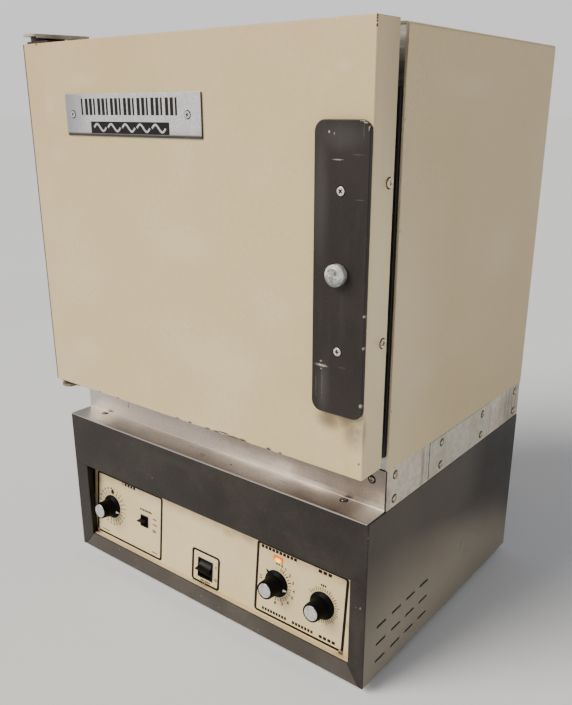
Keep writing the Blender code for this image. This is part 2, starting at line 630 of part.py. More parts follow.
def controls():
    cuts = [rod("Y", (at[0], 0, at[1]), 4.0, PANEL_Y[0] - 5, PANEL_Y[1] + 5, 16)
            for at in (TIMER, TEMPERATURE, OVER_TEMPERATURE)]
    for x, z, by in ((POWER_X, POWER_Z, BEZEL - GAP), (FUNCTION_X, FUNCTION_Z, BEZEL - GAP),
                     (LAMP_X, LAMP_Z, 0.0)):
        cuts.append(box(inset(x, by), (PANEL_Y[0] - 5, PANEL_Y[1] + 5), inset(z, by)))
    part("control_panel",
         [box((WINDOW_X[0] - 6, WINDOW_X[1] + 6), PANEL_Y, (WINDOW_Z[0] - 8, WINDOW_Z[1] + 6))],
         CREAM, [joined(cuts)], parent=PANEL)

    knob("timer_knob", TIMER)
    knob("temperature_knob", TEMPERATURE)
    knob("overtemp_knob", OVER_TEMPERATURE)
    start = PANEL_Y[1] + GAP
    tx, tz = TIMER
    part("timer_body", [box((tx - 27, tx + 27), (start, start + 40), (tz - 27, tz + 27))], BLACK,
         [spindle_bore(TIMER)], parent=PANEL)
    for name, at, radius in (("thermostat_body", TEMPERATURE, 22.0),
                             ("overtemp_body", OVER_TEMPERATURE, 20.0)):
        part(name, [rod("Y", (at[0], 0, at[1]), radius, start, start + 32, 24)], GALVANISED,
             [spindle_bore(at)], parent=PANEL)

    for name, x, z, lever in (("power", POWER_X, POWER_Z, POWER_LEVER),
                              ("function", FUNCTION_X, FUNCTION_Z, FUNCTION_LEVER)):
        switch_body(f"{name}_switch_body", x, z, *lever[:2])
        rocker(f"{name}_lever", x, z, *lever)
    part("pilot_lamp",
         [box(inset(LAMP_X, GAP), (PANEL_Y[0] - 1.6, PANEL_Y[1] + 16), inset(LAMP_Z, GAP))],
         ORANGE, parent=PANEL)

    deck = SHEET + GAP
    notches = [box((x - 4, x + 4), (196, 204), (deck + 8, deck + 30)) for x in range(-30, 31, 15)]
    part("terminal_block", [box((-40, 40), (190, 214), (deck, deck + 18))], BLACK,
         [joined(notches)])
    back = DEPTH - 0.6
    flange = box((INLET_X - 25, INLET_X + 25), (back + GAP, back + 2.3),
                 (INLET_Z - 14, INLET_Z + 14))
    core = box((INLET_X - 14, INLET_X + 14), (back - 22, back + 1),
               (INLET_Z - 10.5, INLET_Z + 10.5))
    recess = box((INLET_X - 12, INLET_X + 12), (back - 15, back + 9),
                 (INLET_Z - 8.5, INLET_Z + 8.5))
    pins = [box((INLET_X + x - 2, INLET_X + x + 2), (back - 16, back - 1), (z, z + 3))
            for x, z in ((-7, INLET_Z - 3.5), (7, INLET_Z - 3.5), (0, INLET_Z + 2.5))]
    part("power_inlet", [core, flange], BLACK, [recess], add=pins)


for old in list(bpy.data.objects):
    bpy.data.objects.remove(old, do_unlink=True)

OVEN = empty("oven", (0.0, 0.0, 0.0))
DOOR = empty("door_hinge", (*HINGE, DOOR_Z[0]), OVEN)
PANEL = empty("panel_lean", (0.0, PANEL_Y[0], WINDOW_Z[0]), OVEN)
PANEL.rotation_euler.x = -radians(PANEL_LEAN)

cabinet()
insulation()
chamber()
heater()
exhaust()
hinges()
door()
band()
base()
controls()
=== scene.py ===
"""Looks of the benchtop laboratory oven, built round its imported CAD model.

Places are in design millimetres: X from the base's centre line, Y from the base's front face
(positive towards the back), Z from the base's underside. at() turns them into the row frame.
Pieces stay at the world origin, as CAD nodes do, unless their material turns about their own axis.
"""

import json
from functools import reduce
from math import atan2, cos, pi, radians, sin, tan

import bmesh
import bpy
from mathutils import Matrix, Vector

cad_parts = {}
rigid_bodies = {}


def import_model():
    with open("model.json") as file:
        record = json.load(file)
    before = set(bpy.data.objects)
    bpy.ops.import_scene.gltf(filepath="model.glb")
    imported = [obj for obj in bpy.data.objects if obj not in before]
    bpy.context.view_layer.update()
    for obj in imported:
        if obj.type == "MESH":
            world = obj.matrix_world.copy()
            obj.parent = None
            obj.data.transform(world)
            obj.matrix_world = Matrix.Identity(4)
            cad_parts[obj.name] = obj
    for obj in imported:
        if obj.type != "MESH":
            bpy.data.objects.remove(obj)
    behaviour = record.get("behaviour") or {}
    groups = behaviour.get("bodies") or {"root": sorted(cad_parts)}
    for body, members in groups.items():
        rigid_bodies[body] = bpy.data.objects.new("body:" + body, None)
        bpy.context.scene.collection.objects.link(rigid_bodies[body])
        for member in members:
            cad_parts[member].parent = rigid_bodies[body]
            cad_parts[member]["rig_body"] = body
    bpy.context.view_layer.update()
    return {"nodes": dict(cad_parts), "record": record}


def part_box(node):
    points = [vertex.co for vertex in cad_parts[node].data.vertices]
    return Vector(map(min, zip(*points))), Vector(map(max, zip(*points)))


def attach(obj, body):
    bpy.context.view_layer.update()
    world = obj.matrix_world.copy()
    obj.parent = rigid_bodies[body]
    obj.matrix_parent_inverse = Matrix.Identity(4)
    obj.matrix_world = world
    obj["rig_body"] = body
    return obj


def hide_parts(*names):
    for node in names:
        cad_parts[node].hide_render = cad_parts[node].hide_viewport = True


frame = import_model()

MM = 0.001
X, Y, Z = range(3)
OVEN, DOOR = "oven", "door"

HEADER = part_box("fascia_header")
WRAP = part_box("base_wrap")
ORIGIN = Vector(((WRAP[0].x + WRAP[1].x) / 2, HEADER[0].y, WRAP[0].z))


def at(x, y, z):
    """A design point in the row frame, in metres."""
    return ORIGIN + Vector((x, y, z)) * MM


def span(node):
    """A node's limits in design millimetres: X, Y and Z pairs."""
    low, high = ((corner - ORIGIN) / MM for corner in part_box(node))
    return tuple((low[i], high[i]) for i in range(3))


def middle(node):
    return tuple(sum(limits) / 2 for limits in span(node))


JOINTS = {joint["name"]: joint for joint in frame["record"]["behaviour"]["joints"]}
INTO_PANEL = Vector(JOINTS["timer_turn"]["axis"])
UP_PANEL = Vector((0, -INTO_PANEL.z, INTO_PANEL.y))
LEAN = atan2(-INTO_PANEL.z, INTO_PANEL.y)
RAIL = span("bottom_rail")
PANEL_FOOT = Vector((0, RAIL[1][1] + 0.3, RAIL[2][1]))


def pin(joint):
    """The design point that a joint turns about."""
    return (Vector(JOINTS[joint]["pos_m"]) - ORIGIN) / MM


def on_panel(x, height):
    """The design point on the leaning panel at an X and a height up it."""
    return PANEL_FOOT + Vector((x, 0, 0)) + UP_PANEL * (height - PANEL_FOOT.z)


# Sheet metal
THICKNESS = 1.2
BEND = 1.1                       # radius of the bends in the door's sheet
SOFT_EDGE = 0.35                 # rounding of cut sheet edges
HEM = 2.5                        # across the rolled front edge of the cabinet
STRAP = 0.45                     # of the straps lapped over the side bands

HANDLE_CORNER = 9.8
KNOB_HEIGHT = 21.2
LAMP = ((99.6, 112.3), (96.3, 102.5))        # X and height up the panel
LAMP_DEPTH = (-16.0, 1.6)                    # from behind the panel to its lens
FILAMENT, AMBER = (1.0, 0.66, 0.03, 1.0), (0.42, 0.05, 0.0, 1.0)     # linear light

# Hardware: radius, then height over the surface
DOOR_SCREW = (4.2, 1.3)
PLATE_SCREW = (3.7, 0.5)
NAME_SCREW = (3.3, 0.8)
LEDGE_SCREW = (3.2, 1.5)
PANEL_SCREW = (3.0, 1.5)
BACK_SCREW = (3.6, 1.7)
LINING_SCREW = (3.2, 1.3)
SMALL_SCREW = (3.4, 1.6)
RIVET = (3.7, 1.7)

DOOR_SCREW_HEIGHTS = (375.2, 511.4)
DOOR_SCREW_Y = 2.2
PLATE_SCREW_HEIGHTS = (370.1, 505.8)
NAME_SCREW_X = (-135.1, 34.1)
LEDGE_SCREWS_X = (-191.7, 183.1)
RISER_SCREW = (211.9, 224.7)
PANEL_SCREWS = ((-204.2, 25.2), (-3.9, 25.4), (195.6, 25.0))
RIVETS_Y = (47.7, 144.9, 247.5, 344.3)
RIVETS_Z = (202.0, 228.3)
STRAP_Y = (118.8, 265.0)

# Print on the control panel, which leans back: X and height up the panel of the outlined fields
TIMER_FIELD = ((-206.3, -79.3), (24.7, 112.1))
TEMPERATURE_FIELD = ((75.0, 199.0), (24.6, 112.4))
POWER_FIELD = ((-26.0, 20.2), (22.8, 66.3))
FIELD_LINE = 2.8
FIELD_CORNER = 4.5
INK = 0.06                       # thickness of print

# Setting: the camera in metres and degrees, solved on the photograph; strengths of light
CAMERA_PLACE = (0.5568325, -0.71157, 0.576215)
CAMERA_TURN = (38.4189, 71.0149, -0.0741)    # heading, tilt and roll
CAMERA_LENS = 38.632
CAMERA_SHIFT = (0.00175, 0.0244)
WALL_LOW, WALL_HIGH = 0.95, 0.30
KEY = 3.9


# ---------------------------------------------------------------- shapes in design millimetres

def rounded_off(shape, edges, width, segments):
    bmesh.ops.bevel(shape, geom=edges, offset=width, segments=segments, profile=0.5,
                    affect="EDGES")


def block(x, y, z, bevel=0.0, segments=3):
    """A block between the given limits with every edge rounded."""
    shape = bmesh.new()
    bmesh.ops.create_cube(shape, size=1.0)
    size = Matrix.Diagonal((x[1] - x[0], y[1] - y[0], z[1] - z[0], 1.0))
    shape.transform(Matrix.Translation((sum(x) / 2, sum(y) / 2, sum(z) / 2)) @ size)
    if bevel:
        rounded_off(shape, shape.edges, bevel, segments)
    return shape


FACINGS = {
    "front": ((1, 0, 0), (0, 0, 1), (0, -1, 0)),
    "back": ((-1, 0, 0), (0, 0, 1), (0, 1, 0)),
    "right": ((0, 1, 0), (0, 0, 1), (1, 0, 0)),
    "left": ((0, -1, 0), (0, 0, 1), (-1, 0, 0)),
    "up": ((1, 0, 0), (0, 1, 0), (0, 0, 1)),
    "down": ((1, 0, 0), (0, -1, 0), (0, 0, -1)),
}


def facing(side, place=(0, 0, 0), turn=0.0):
    """Puts a shape drawn flat, x right, y up and z outward, on a side of the oven."""
    right, up, out = (Vector(axis) for axis in FACINGS[side])
    basis = Matrix((right, up, out)).transposed().to_4x4()
    return Matrix.Translation(place) @ basis @ Matrix.Rotation(radians(turn), 4, "Z")


def placed(shape, side, place=(0, 0, 0), turn=0.0):
    shape.transform(facing(side, place, turn))
    return shape


def leaned(shape, place=(0, 0, 0), turn=0.0):
    """Puts a flat-drawn shape on the leaning panel at a design point."""
    tilt = Matrix.Rotation(-LEAN, 4, "X")
    upright = facing("front", (0, 0, 0), turn)
    shape.transform(Matrix.Translation(place) @ tilt @ upright)
    return shape


def bridge(shape, first, second):
    """Faces between two closed loops with as many points each."""
    for step in range(len(first)):
        after = (step + 1) % len(first)
        shape.faces.new((first[step], first[after], second[after], second[step]))


def lathe(profile, sides=32, wave=None):
    """Turns (radius, height) points about z.

    A radius of 0 closes an end, and wave(angle, height) is added to the radius.
    """
    shape = bmesh.new()
    rings = []
    for radius, height in profile:
        if radius == 0:
            rings.append([shape.verts.new((0, 0, height))])
            continue
        ring = []
        for step in range(sides):
            angle = 2 * pi * step / sides
            grown = radius + (wave(angle, height) if wave else 0.0)
            ring.append(shape.verts.new((grown * cos(angle), grown * sin(angle), height)))
        rings.append(ring)
    for lower, upper in zip(rings, rings[1:]):
        if len(lower) == len(upper):
            bridge(shape, lower, upper)
            continue
        for step in range(sides):
            after = (step + 1) % sides
            if len(lower) == 1:
                shape.faces.new((lower[0], upper[after], upper[step]))
            else:
                shape.faces.new((lower[step], lower[after], upper[0]))
    for ring in (rings[0], rings[-1]):
        if len(ring) > 1:
            shape.faces.new(ring)
    bmesh.ops.recalc_face_normals(shape, faces=shape.faces)
    return shape


def arc(centre, radius, first, last, steps):
    angles = [radians(first + (last - first) * step / steps) for step in range(steps + 1)]
    return [(centre[0] + radius * cos(a), centre[1] + radius * sin(a)) for a in angles]


def rounded(x, y, radius, steps=8):
    """A rectangle's outline with rounded corners, anticlockwise."""
    corners = (
        (x[1] - radius, y[0] + radius, -90),
        (x[1] - radius, y[1] - radius, 0),
        (x[0] + radius, y[1] - radius, 90),
        (x[0] + radius, y[0] + radius, 180),
    )
    return [point for cx, cy, a in corners for point in arc((cx, cy), radius, a, a + 90, steps)]


def extruded(outline, start, end, bevel=0.0, segments=3):
    """A flat outline raised along z, with its two rims rounded."""
    shape = bmesh.new()
    face = shape.faces.new([shape.verts.new((a, b, start)) for a, b in outline])
    grown = bmesh.ops.extrude_face_region(shape, geom=[face])["geom"]
    moved = [item for item in grown if isinstance(item, bmesh.types.BMVert)]
    bmesh.ops.translate(shape, verts=moved, vec=(0, 0, end - start))
    bmesh.ops.recalc_face_normals(shape, faces=shape.faces)
    if bevel:
        rims = [e for e in shape.edges if abs(e.verts[0].co.z - e.verts[1].co.z) < 1e-6]
        rounded_off(shape, rims, bevel, segments)
    return shape


def frame_flat(outer, inner, start, end):
    """The strip between two outlines with as many points each, raised along z."""
    shape = bmesh.new()
    low_out, low_in, high_out, high_in = (
        [shape.verts.new((a, b, h)) for a, b in line] for h in (start, end)
        for line in (outer, inner))
    for first, second in ((low_out, low_in), (high_in, high_out), (low_in, high_in),
                          (high_out, low_out)):
        bridge(shape, first, second)
    bmesh.ops.recalc_face_normals(shape, faces=shape.faces)
    return shape


def filleted(points, radius, steps=8):
    """A bent line: the corners of a polyline become arcs."""
    line = [Vector(points[0])]
    for before, corner, after in zip(points, points[1:], points[2:]):
        corner = Vector(corner)
        into = (corner - Vector(before)).normalized()
        out = (Vector(after) - corner).normalized()
        turn = atan2(into.x * out.y - into.y * out.x, into.dot(out))
        setback = radius * tan(abs(turn) / 2)
        side = 1 if turn > 0 else -1
        centre = corner - into * setback + Vector((-into.y, into.x)) * radius * side
        start = corner - into * setback - centre
        for step in range(steps + 1):
            angle = turn * step / steps
            line.append(centre + Matrix.Rotation(angle, 2) @ start)
    line.append(Vector(points[-1]))
    return line


def folded(points, thickness, radius):
    """The outline of a sheet whose middle follows a bent line."""
    line = filleted(points, radius)
    left, right = [], []
    for number, point in enumerate(line):
        before = line[max(number - 1, 0)]
        after = line[min(number + 1, len(line) - 1)]
        along = (after - before).normalized()
        across = Vector((-along.y, along.x)) * thickness / 2
        left.append(tuple(point + across))
        right.append(tuple(point - across))
    return left + right[::-1]


def into_mesh(name, shape):
    """A shape's mesh; the shape itself is used up."""
    mesh = bpy.data.meshes.new(name)
    shape.to_mesh(mesh)
    shape.free()
    return mesh


def linked(name, data):
    """A new object in the scene."""
    made = bpy.data.objects.new(name, data)
    bpy.context.scene.collection.objects.link(made)
    return made


def merged(shapes):
    """Several shapes in one mesh."""
    whole = bmesh.new()
    for shape in shapes:
        mesh = into_mesh("merged", shape)
        whole.from_mesh(mesh)
        bpy.data.meshes.remove(mesh)
    return whole


def carved(shape, cutter):
    """A shape less a cutter, both closed."""
    pair = [linked("carved", into_mesh("carved", each)) for each in (shape, cutter)]
    cut = pair[0].modifiers.new("Cut", "BOOLEAN")
    cut.operation, cut.solver, cut.object = "DIFFERENCE", "EXACT", pair[1]
    result = bmesh.new()
    result.from_object(pair[0], bpy.context.evaluated_depsgraph_get())
    for holder in pair:
        mesh = holder.data
        bpy.data.objects.remove(holder)
        bpy.data.meshes.remove(mesh)
    return result


def meshed(curve):
    """The mesh of a curve or text, which is then removed."""
    holder = bpy.data.objects.new(curve.name, curve)
    mesh = bpy.data.meshes.new_from_object(holder)
    shape = bmesh.new()
    shape.from_mesh(mesh)
    bpy.data.objects.remove(holder)
    bpy.data.curves.remove(curve)
    bpy.data.meshes.remove(mesh)
    return shape


def letters(text, size, place):
    """Flat numerals, centred on a place, with the thickness of print."""
    curve = bpy.data.curves.new("letters", "FONT")
    curve.body, curve.size, curve.resolution_u = text, size, 3
    curve.align_x, curve.align_y, curve.extrude = "CENTER", "CENTER", INK / 2
    curve.offset = 0.05 * size
    shape = meshed(curve)
    shape.transform(Matrix.Translation((*place, INK / 2)))
    return shape


def wire(points, radius, cyclic=False):
    """A round bar along points."""
    curve = bpy.data.curves.new("wire", "CURVE")
    curve.dimensions, curve.bevel_depth, curve.bevel_resolution = "3D", radius, 3
    curve.use_fill_caps = True
    spline = curve.splines.new("POLY")
    spline.points.add(len(points) - 1)
    for point, place in zip(spline.points, points):
        point.co = (*place, 1)
    spline.use_cyclic_u = cyclic
    return meshed(curve)


# ---------------------------------------------------------------- hardware

def recessed(head, size, depth, height):
    """Cuts a Phillips recess in a head whose top is at height."""
    bottom, top = height - depth, height + 1
    long, narrow = (-size / 2, size / 2), (-size * 0.17, size * 0.17)
    head = carved(head, block(long, narrow, (bottom, top)))
    return carved(head, block(narrow, long, (bottom + 0.01, top + 0.01)))


def pan_head(radius, height):
    """A domed screw head with a cross recess."""
    profile = [(radius, 0), (radius, height * 0.3)]
    profile += [(radius * cos(a), height * (0.3 + 0.7 * sin(a)))
                for a in (radians(12 * n) for n in range(1, 7))]
    dome = lathe(profile + [(radius * 0.22, height * 0.995)], 36)
    return recessed(dome, radius * 1.15, height * 0.75, height)


def flat_head(radius, height):
    """A countersunk screw head that stands a little proud, with a cross recess."""
    disc = lathe([(radius, 0), (radius, height * 0.6), (radius * 0.93, height)], 36)
    return recessed(disc, radius * 1.1, height * 0.9, height)


def rivet_head(radius, height):
    """A domed blind rivet with the dimple that its pin leaves."""
    dome = [(radius * cos(a), height * (0.22 + 0.78 * sin(a)))
            for a in (radians(14 * n) for n in range(6))]
    rim = (radius * 0.26, dome[-1][1])
    return lathe([(radius, 0), *dome, rim, (radius * 0.2, rim[1] - 0.45), (0, rim[1] - 0.5)], 32)


# ---------------------------------------------------------------- materials

class Look:
    """A Principled material whose colour, roughness and relief vary over the piece.

    Patterns use object coordinates in metres, so they stay on a piece when it moves.
    """

    def __init__(self, name, **fixed):
        self.material = bpy.data.materials.new(name)
        self.material.use_nodes = True
        self.tree = self.material.node_tree
        self.shader = self.tree.nodes["Principled BSDF"]
        for words, value in fixed.items():
            self.shader.inputs[words.replace("_", " ")].default_value = value
        self.place = self.node("TexCoord").outputs["Object"]
        self.axes = self.node("SeparateXYZ", {"Vector": self.place}).outputs

    def node(self, kind, feeds=None, **settings):
        made = self.tree.nodes.new(f"ShaderNode{kind}")
        for key, value in settings.items():
            setattr(made, key, value)
        for key, value in (feeds or {}).items():
            self.feed(made.inputs[key], value)
        return made

    def feed(self, socket, value):
        if isinstance(value, bpy.types.NodeSocket):
            self.tree.links.new(value, socket)
        else:
            socket.default_value = value

    def math(self, operation, a, b=0.0):
        return self.node("Math", {0: a, 1: b, 2: 0.0}, operation=operation).outputs[0]

    def times(self, a, b):
        return self.math("MULTIPLY", a, b)

    def plus(self, a, b):
        return self.math("ADD", a, b)

    def minus(self, a, b):
        return self.math("SUBTRACT", a, b)

    def most(self, a, b):
        return self.math("MAXIMUM", a, b)

    def ramp(self, value, low, high, start=0.0, end=1.0):
        """start below low and end above high, with a smooth change between."""
        made = self.node("MapRange", {
            "Value": value, "From Min": low, "From Max": high, "To Min": start, "To Max": end,
        }, interpolation_type="SMOOTHSTEP")
        return made.outputs["Result"]

    def mix(self, share, a, b):
        """Colour a where share is 0, b where it is 1."""
        made = self.node("Mix", {0: share, 6: rgba(a), 7: rgba(b)}, data_type="RGBA")
        return made.outputs[2]

    def along(self, axis, first, last, start=0.0, end=1.0):
        """A ramp between two design millimetres along an axis."""
        low, high = (at(place, place, place)[axis] for place in (first, last))
        return self.ramp(self.axes[axis], low, high, start, end)

    def tint(self, share, tone):
        """Lays a tone over the colour so far."""
        self.colour = self.mix(share, self.colour, tone)

    def vector(self, operation, a, b):
        return self.node("VectorMath", {0: a, 1: b}, operation=operation).outputs[0]

    def stretched(self, scale, stretch=(1, 1, 1), shift=0.0):
        moved = self.vector("ADD", self.place, (shift,) * 3)
        return self.vector("MULTIPLY", moved, tuple(scale * s for s in stretch))

    def noise(self, scale, detail=2.0, rough=0.5, stretch=(1, 1, 1), shift=0.0):
        """Noise from 0 to 1 with features of about 1/scale metres."""
        made = self.node("TexNoise", {
            "Vector": self.stretched(scale, stretch, shift), "Scale": 1.0, "Detail": detail,
            "Roughness": rough,
        })
        return made.outputs["Fac"]

    def edge(self, low, high):
        """Metres from the nearest edge of a box, for points on its faces."""
        gaps = []
        for axis in range(3):
            centre, half = (low[axis] + high[axis]) / 2, (high[axis] - low[axis]) / 2
            off = self.math("ABSOLUTE", self.minus(self.axes[axis], centre))
            gaps.append(self.minus(half, off))
        least = reduce(lambda a, b: self.math("MINIMUM", a, b), gaps)
        return self.minus(self.minus(reduce(self.plus, gaps), least), reduce(self.most, gaps))

    def spot(self, place, size):
        """Distance from a design point, in units of size, half extents in millimetres."""
        away = self.vector("SUBTRACT", self.place, at(*place))
        scaled = self.vector("MULTIPLY", away, tuple(1 / (s * MM) for s in size))
        return self.node("VectorMath", {0: scaled}, operation="LENGTH").outputs["Value"]

    def near(self, spots, ragged=0.55):
        """1 inside any of several ellipsoids, with edges broken up by noise."""
        torn = self.ramp(self.noise(1500, 3, 0.65), 0.3, 0.7, -ragged, ragged)
        return reduce(self.most, [self.ramp(self.plus(self.spot(place, size), torn), 1.05, 0.85)
                                  for place, size in spots])

    def smudge(self, spots):
        """A soft patch, strongest in the middle of any of several ellipsoids."""
        return reduce(self.most, [self.ramp(self.spot(place, size), 1.0, 0.1)
                                  for place, size in spots])

    def relief(self, *layers):
        """Bump from (height, millimetres) layers."""
        normal = None
        for height, depth in layers:
            feeds = {"Height": height, "Distance": depth * MM, "Strength": 1.0}
            if normal is not None:
                feeds["Normal"] = normal
            normal = self.node("Bump", feeds).outputs["Normal"]
        self.feed(self.shader.inputs["Normal"], normal)

    def done(self, roughness):
        self.feed(self.shader.inputs["Base Color"], self.colour)
        self.feed(self.shader.inputs["Roughness"], roughness)
        return self.material


def rgba(colour):
    """Linear colour from three sRGB numbers out of 255; anything else passes through."""
    if isinstance(colour, tuple) and len(colour) == 3:
        return (*(((part / 255 + 0.055) / 1.055) ** 2.4 for part in colour), 1.0)
    return colour


def enamel(name, box, tones, bare, rough=0.42, grain=0.004, cloud=3.0, edge_wear=0.0, chips=(),
           smudges=(), gloss=0.4, mottle=0.6, shade=None, dents=()):
    """Stoved enamel on sheet: drifts of tone, fine orange peel, worn edges, smudges and chips.

    tones are the plain, the darker and the paler colour; shade adds a last tint to the colour.
    """
    look = Look(name, Specular_IOR_Level=gloss)
    plain, deep, pale = tones
    look.colour = look.mix(look.ramp(look.noise(cloud, 3, 0.55), 0.35, 0.65), plain, deep)
    haze = look.noise(cloud * 3.1, 5, 0.6, shift=3.7)
    look.tint(look.ramp(haze, 0.42, 0.72, 0.0, 0.55), pale)
    blotch = look.noise(230, 4, 0.7, shift=1.9)
    look.tint(look.ramp(blotch, 0.3, 0.7, 0.0, mottle), deep)
    speck = look.noise(1300, 2, 0.6)
    look.tint(look.ramp(speck, 0.62, 0.72, 0.0, mottle * 0.8), bare)
    if shade:
        shade(look)
    roughness = look.ramp(haze, 0.3, 0.7, rough - 0.05, rough + 0.07)
    heights = [(look.noise(650, 2, 0.5), grain), (look.noise(14, 2, 0.5), 0.12)]
    if dents:
        heights.append((look.times(look.smudge(dents), -1.0), 1.2))
    if smudges:
        soft = look.times(look.smudge(smudges), look.ramp(blotch, 0.3, 0.6, 0.12, 0.38))
        look.tint(soft, pale)
        roughness = look.plus(roughness, look.times(soft, 0.15))
    if edge_wear:
        reach = look.ramp(look.noise(70, 4, 0.6, shift=1.3), 0.45, 0.8, 0.0, edge_wear * MM)
        worn = look.ramp(look.minus(look.edge(*box), reach), 0.0002, -0.0002)
        look.tint(worn, bare)
    if chips:
        chipped = look.near(chips)
        look.tint(chipped, bare)
        roughness = look.plus(roughness, look.times(chipped, 0.25))
        heights.append((look.times(chipped, -1.0), 0.12))
    look.relief(*heights)
    return look.done(roughness)


def brushed(name, dark, light, stretch, rough, grain, stain, cloud, shade=None):
    """Metal with a directional grain and faint stains."""
    look = Look(name, Metallic=1.0)
    grains = look.noise(1400, 3, 0.6, stretch)
    coarse = look.noise(260, 2, 0.5, stretch, shift=2.1)
    cloudy = look.noise(cloud, 4, 0.6)
    look.colour = look.mix(look.ramp(grains, 0.25, 0.75), dark, light)
    look.tint(look.ramp(cloudy, 0.45, 0.75, 0.0, stain), dark)
    if shade:
        shade(look)
    roughness = look.plus(look.ramp(coarse, 0.25, 0.75, rough - 0.06, rough + 0.08),
                          look.ramp(cloudy, 0.4, 0.7, 0.0, 0.10))
    look.relief((grains, grain), (coarse, grain * 1.5))
    return look.done(roughness)


def galvanised(name, tone=(226, 215, 199), deep=(176, 163, 147), runs=(), seams=()):
    """Zinc-coated sheet: crystals of slightly different brightness, dull runs and scratches."""
    look = Look(name, Metallic=0.6)
    flecks = {"Vector": look.stretched(240, (1, 1, 0.8)), "Scale": 1.0}
    crystal = look.node("TexVoronoi", flecks, feature="F1").outputs["Color"]
    shade = look.node("SeparateColor", {"Color": crystal}).outputs[0]
    streak = look.noise(420, 4, 0.65, (1, 1, 0.07))
    dull = look.noise(26, 5, 0.65)
    look.colour = look.mix(look.ramp(shade, 0.0, 1.0, 0.0, 0.35), tone, deep)
    look.tint(look.ramp(streak, 0.55, 0.75, 0.0, 0.45), deep)
    look.tint(look.ramp(dull, 0.45, 0.75, 0.0, 0.6), deep)
    marks = look.noise(900, 2, 0.5, (0.5, 0.5, 0.5), shift=4.0)
    look.tint(look.ramp(marks, 0.66, 0.74, 0.0, 0.4), (104, 94, 84))
    if runs:
        run = look.times(look.smudge(runs), look.ramp(streak, 0.35, 0.65, 0.3, 1.0))
        look.tint(run, (140, 130, 118))
    if seams:
        look.tint(look.near(seams, 0.2), (74, 66, 58))
    roughness = look.plus(look.ramp(shade, 0.0, 1.0, 0.36, 0.46),
                          look.ramp(dull, 0.4, 0.7, 0.0, 0.12))
    look.relief((shade, 0.003), (streak, 0.006), (look.noise(40, 2), 0.1))
    return look.done(roughness)


def moulded(name, tone, edge_tone, rough=0.4, grain=0.006, scale=700, **fixed):
    """Plastic or rubber with a fine moulded grain and a little dust."""
    look = Look(name, **fixed)
    fine = look.noise(scale, 3, 0.6)
    dust = look.noise(60, 4, 0.65)
    look.colour = look.mix(look.ramp(dust, 0.45, 0.8, 0.0, 0.6), tone, edge_tone)
    roughness = look.ramp(dust, 0.35, 0.75, rough - 0.05, rough + 0.12)
    look.relief((fine, grain))
    return look.done(roughness)


def plated(name, tone, stain, rough=0.28, cloud=240):
    """Small zinc-plated or nickel hardware with tarnish."""
    look = Look(name, Metallic=1.0)
    tarnish = look.noise(cloud, 4, 0.65)
    look.colour = look.mix(look.ramp(tarnish, 0.4, 0.7), tone, stain)
    look.relief((look.noise(1500, 2), 0.006))
    return look.done(look.ramp(tarnish, 0.35, 0.7, rough, rough + 0.2))


def spun(name, tone, dark, rough=0.26, wear=0.7, wear_scale=420, metallic=1.0, shade=None):
    """A turned aluminium face: rings about the piece's own Y axis."""
    look = Look(name, Metallic=metallic, Anisotropic=0.75)
    tangent = look.node("Tangent", direction_type="RADIAL", axis="Y")
    look.feed(look.shader.inputs["Tangent"], tangent.outputs[0])
    across = look.math("SQRT", look.plus(look.math("POWER", look.axes[X], 2.0),
                                         look.math("POWER", look.axes[Z], 2.0)))
    rings = look.math("SINE", look.times(across, 2 * pi / (0.35 * MM)))
    worn = look.noise(wear_scale, 4, 0.65)
    look.colour = look.mix(look.ramp(worn, 0.45, 0.68, 0.0, wear), tone, dark)
    if shade:
        shade(look)
    look.relief((look.ramp(rings, -1.0, 1.0), 0.006), (worn, 0.012))
    return look.done(look.ramp(worn, 0.3, 0.7, rough, rough + 0.16))


def wool(name):
    """Mineral wool: felted fibres."""
    look = Look(name, Specular_IOR_Level=0.1)
    fibre = look.noise(500, 4, 0.7, (1, 1, 0.2))
    tuft = look.noise(60, 4, 0.7)
    look.colour = look.mix(look.ramp(fibre, 0.3, 0.7), (150, 138, 98), (208, 198, 160))
    look.relief((fibre, 0.3), (tuft, 1.2))
    return look.done(look.ramp(tuft, 0.3, 0.7, 0.9, 1.0))


def heated_steel(name, straw=0.5):
    """Chamber steel with the straw tint that heat leaves, and a light grain."""
    look = Look(name, Metallic=1.0)
    grains = look.noise(900, 3, 0.6, (0.05, 1, 1))
    tint = look.noise(6, 4, 0.6)
    look.colour = look.mix(look.ramp(grains, 0.3, 0.7), (168, 164, 158), (196, 193, 188))
    look.tint(look.ramp(tint, 0.4, 0.7, 0.0, straw), (176, 150, 112))
    look.relief((grains, 0.004))
    return look.done(look.ramp(tint, 0.3, 0.7, 0.3, 0.44))


# ---------------------------------------------------------------- pieces

def dress(nodes, material, bevel=SOFT_EDGE, segments=2):
    """Gives carried-over CAD nodes, their names parted by spaces, a finish and rounded edges."""
    for node in nodes.split():
        part = frame["nodes"][node]
        while len(part.material_slots) > 1:
            part.data.materials.pop()
        part.material_slots[0].material = material
        if not bevel:
            continue
        part.modifiers.new("Weld", "WELD").merge_threshold = 0.01 * MM
        soften = part.modifiers.new("Edges", "BEVEL")
        soften.width, soften.segments = bevel * MM, segments
        soften.limit_method, soften.angle_limit = "ANGLE", radians(40)
        part.modifiers.new("Normals", "WEIGHTED_NORMAL").keep_sharp = False


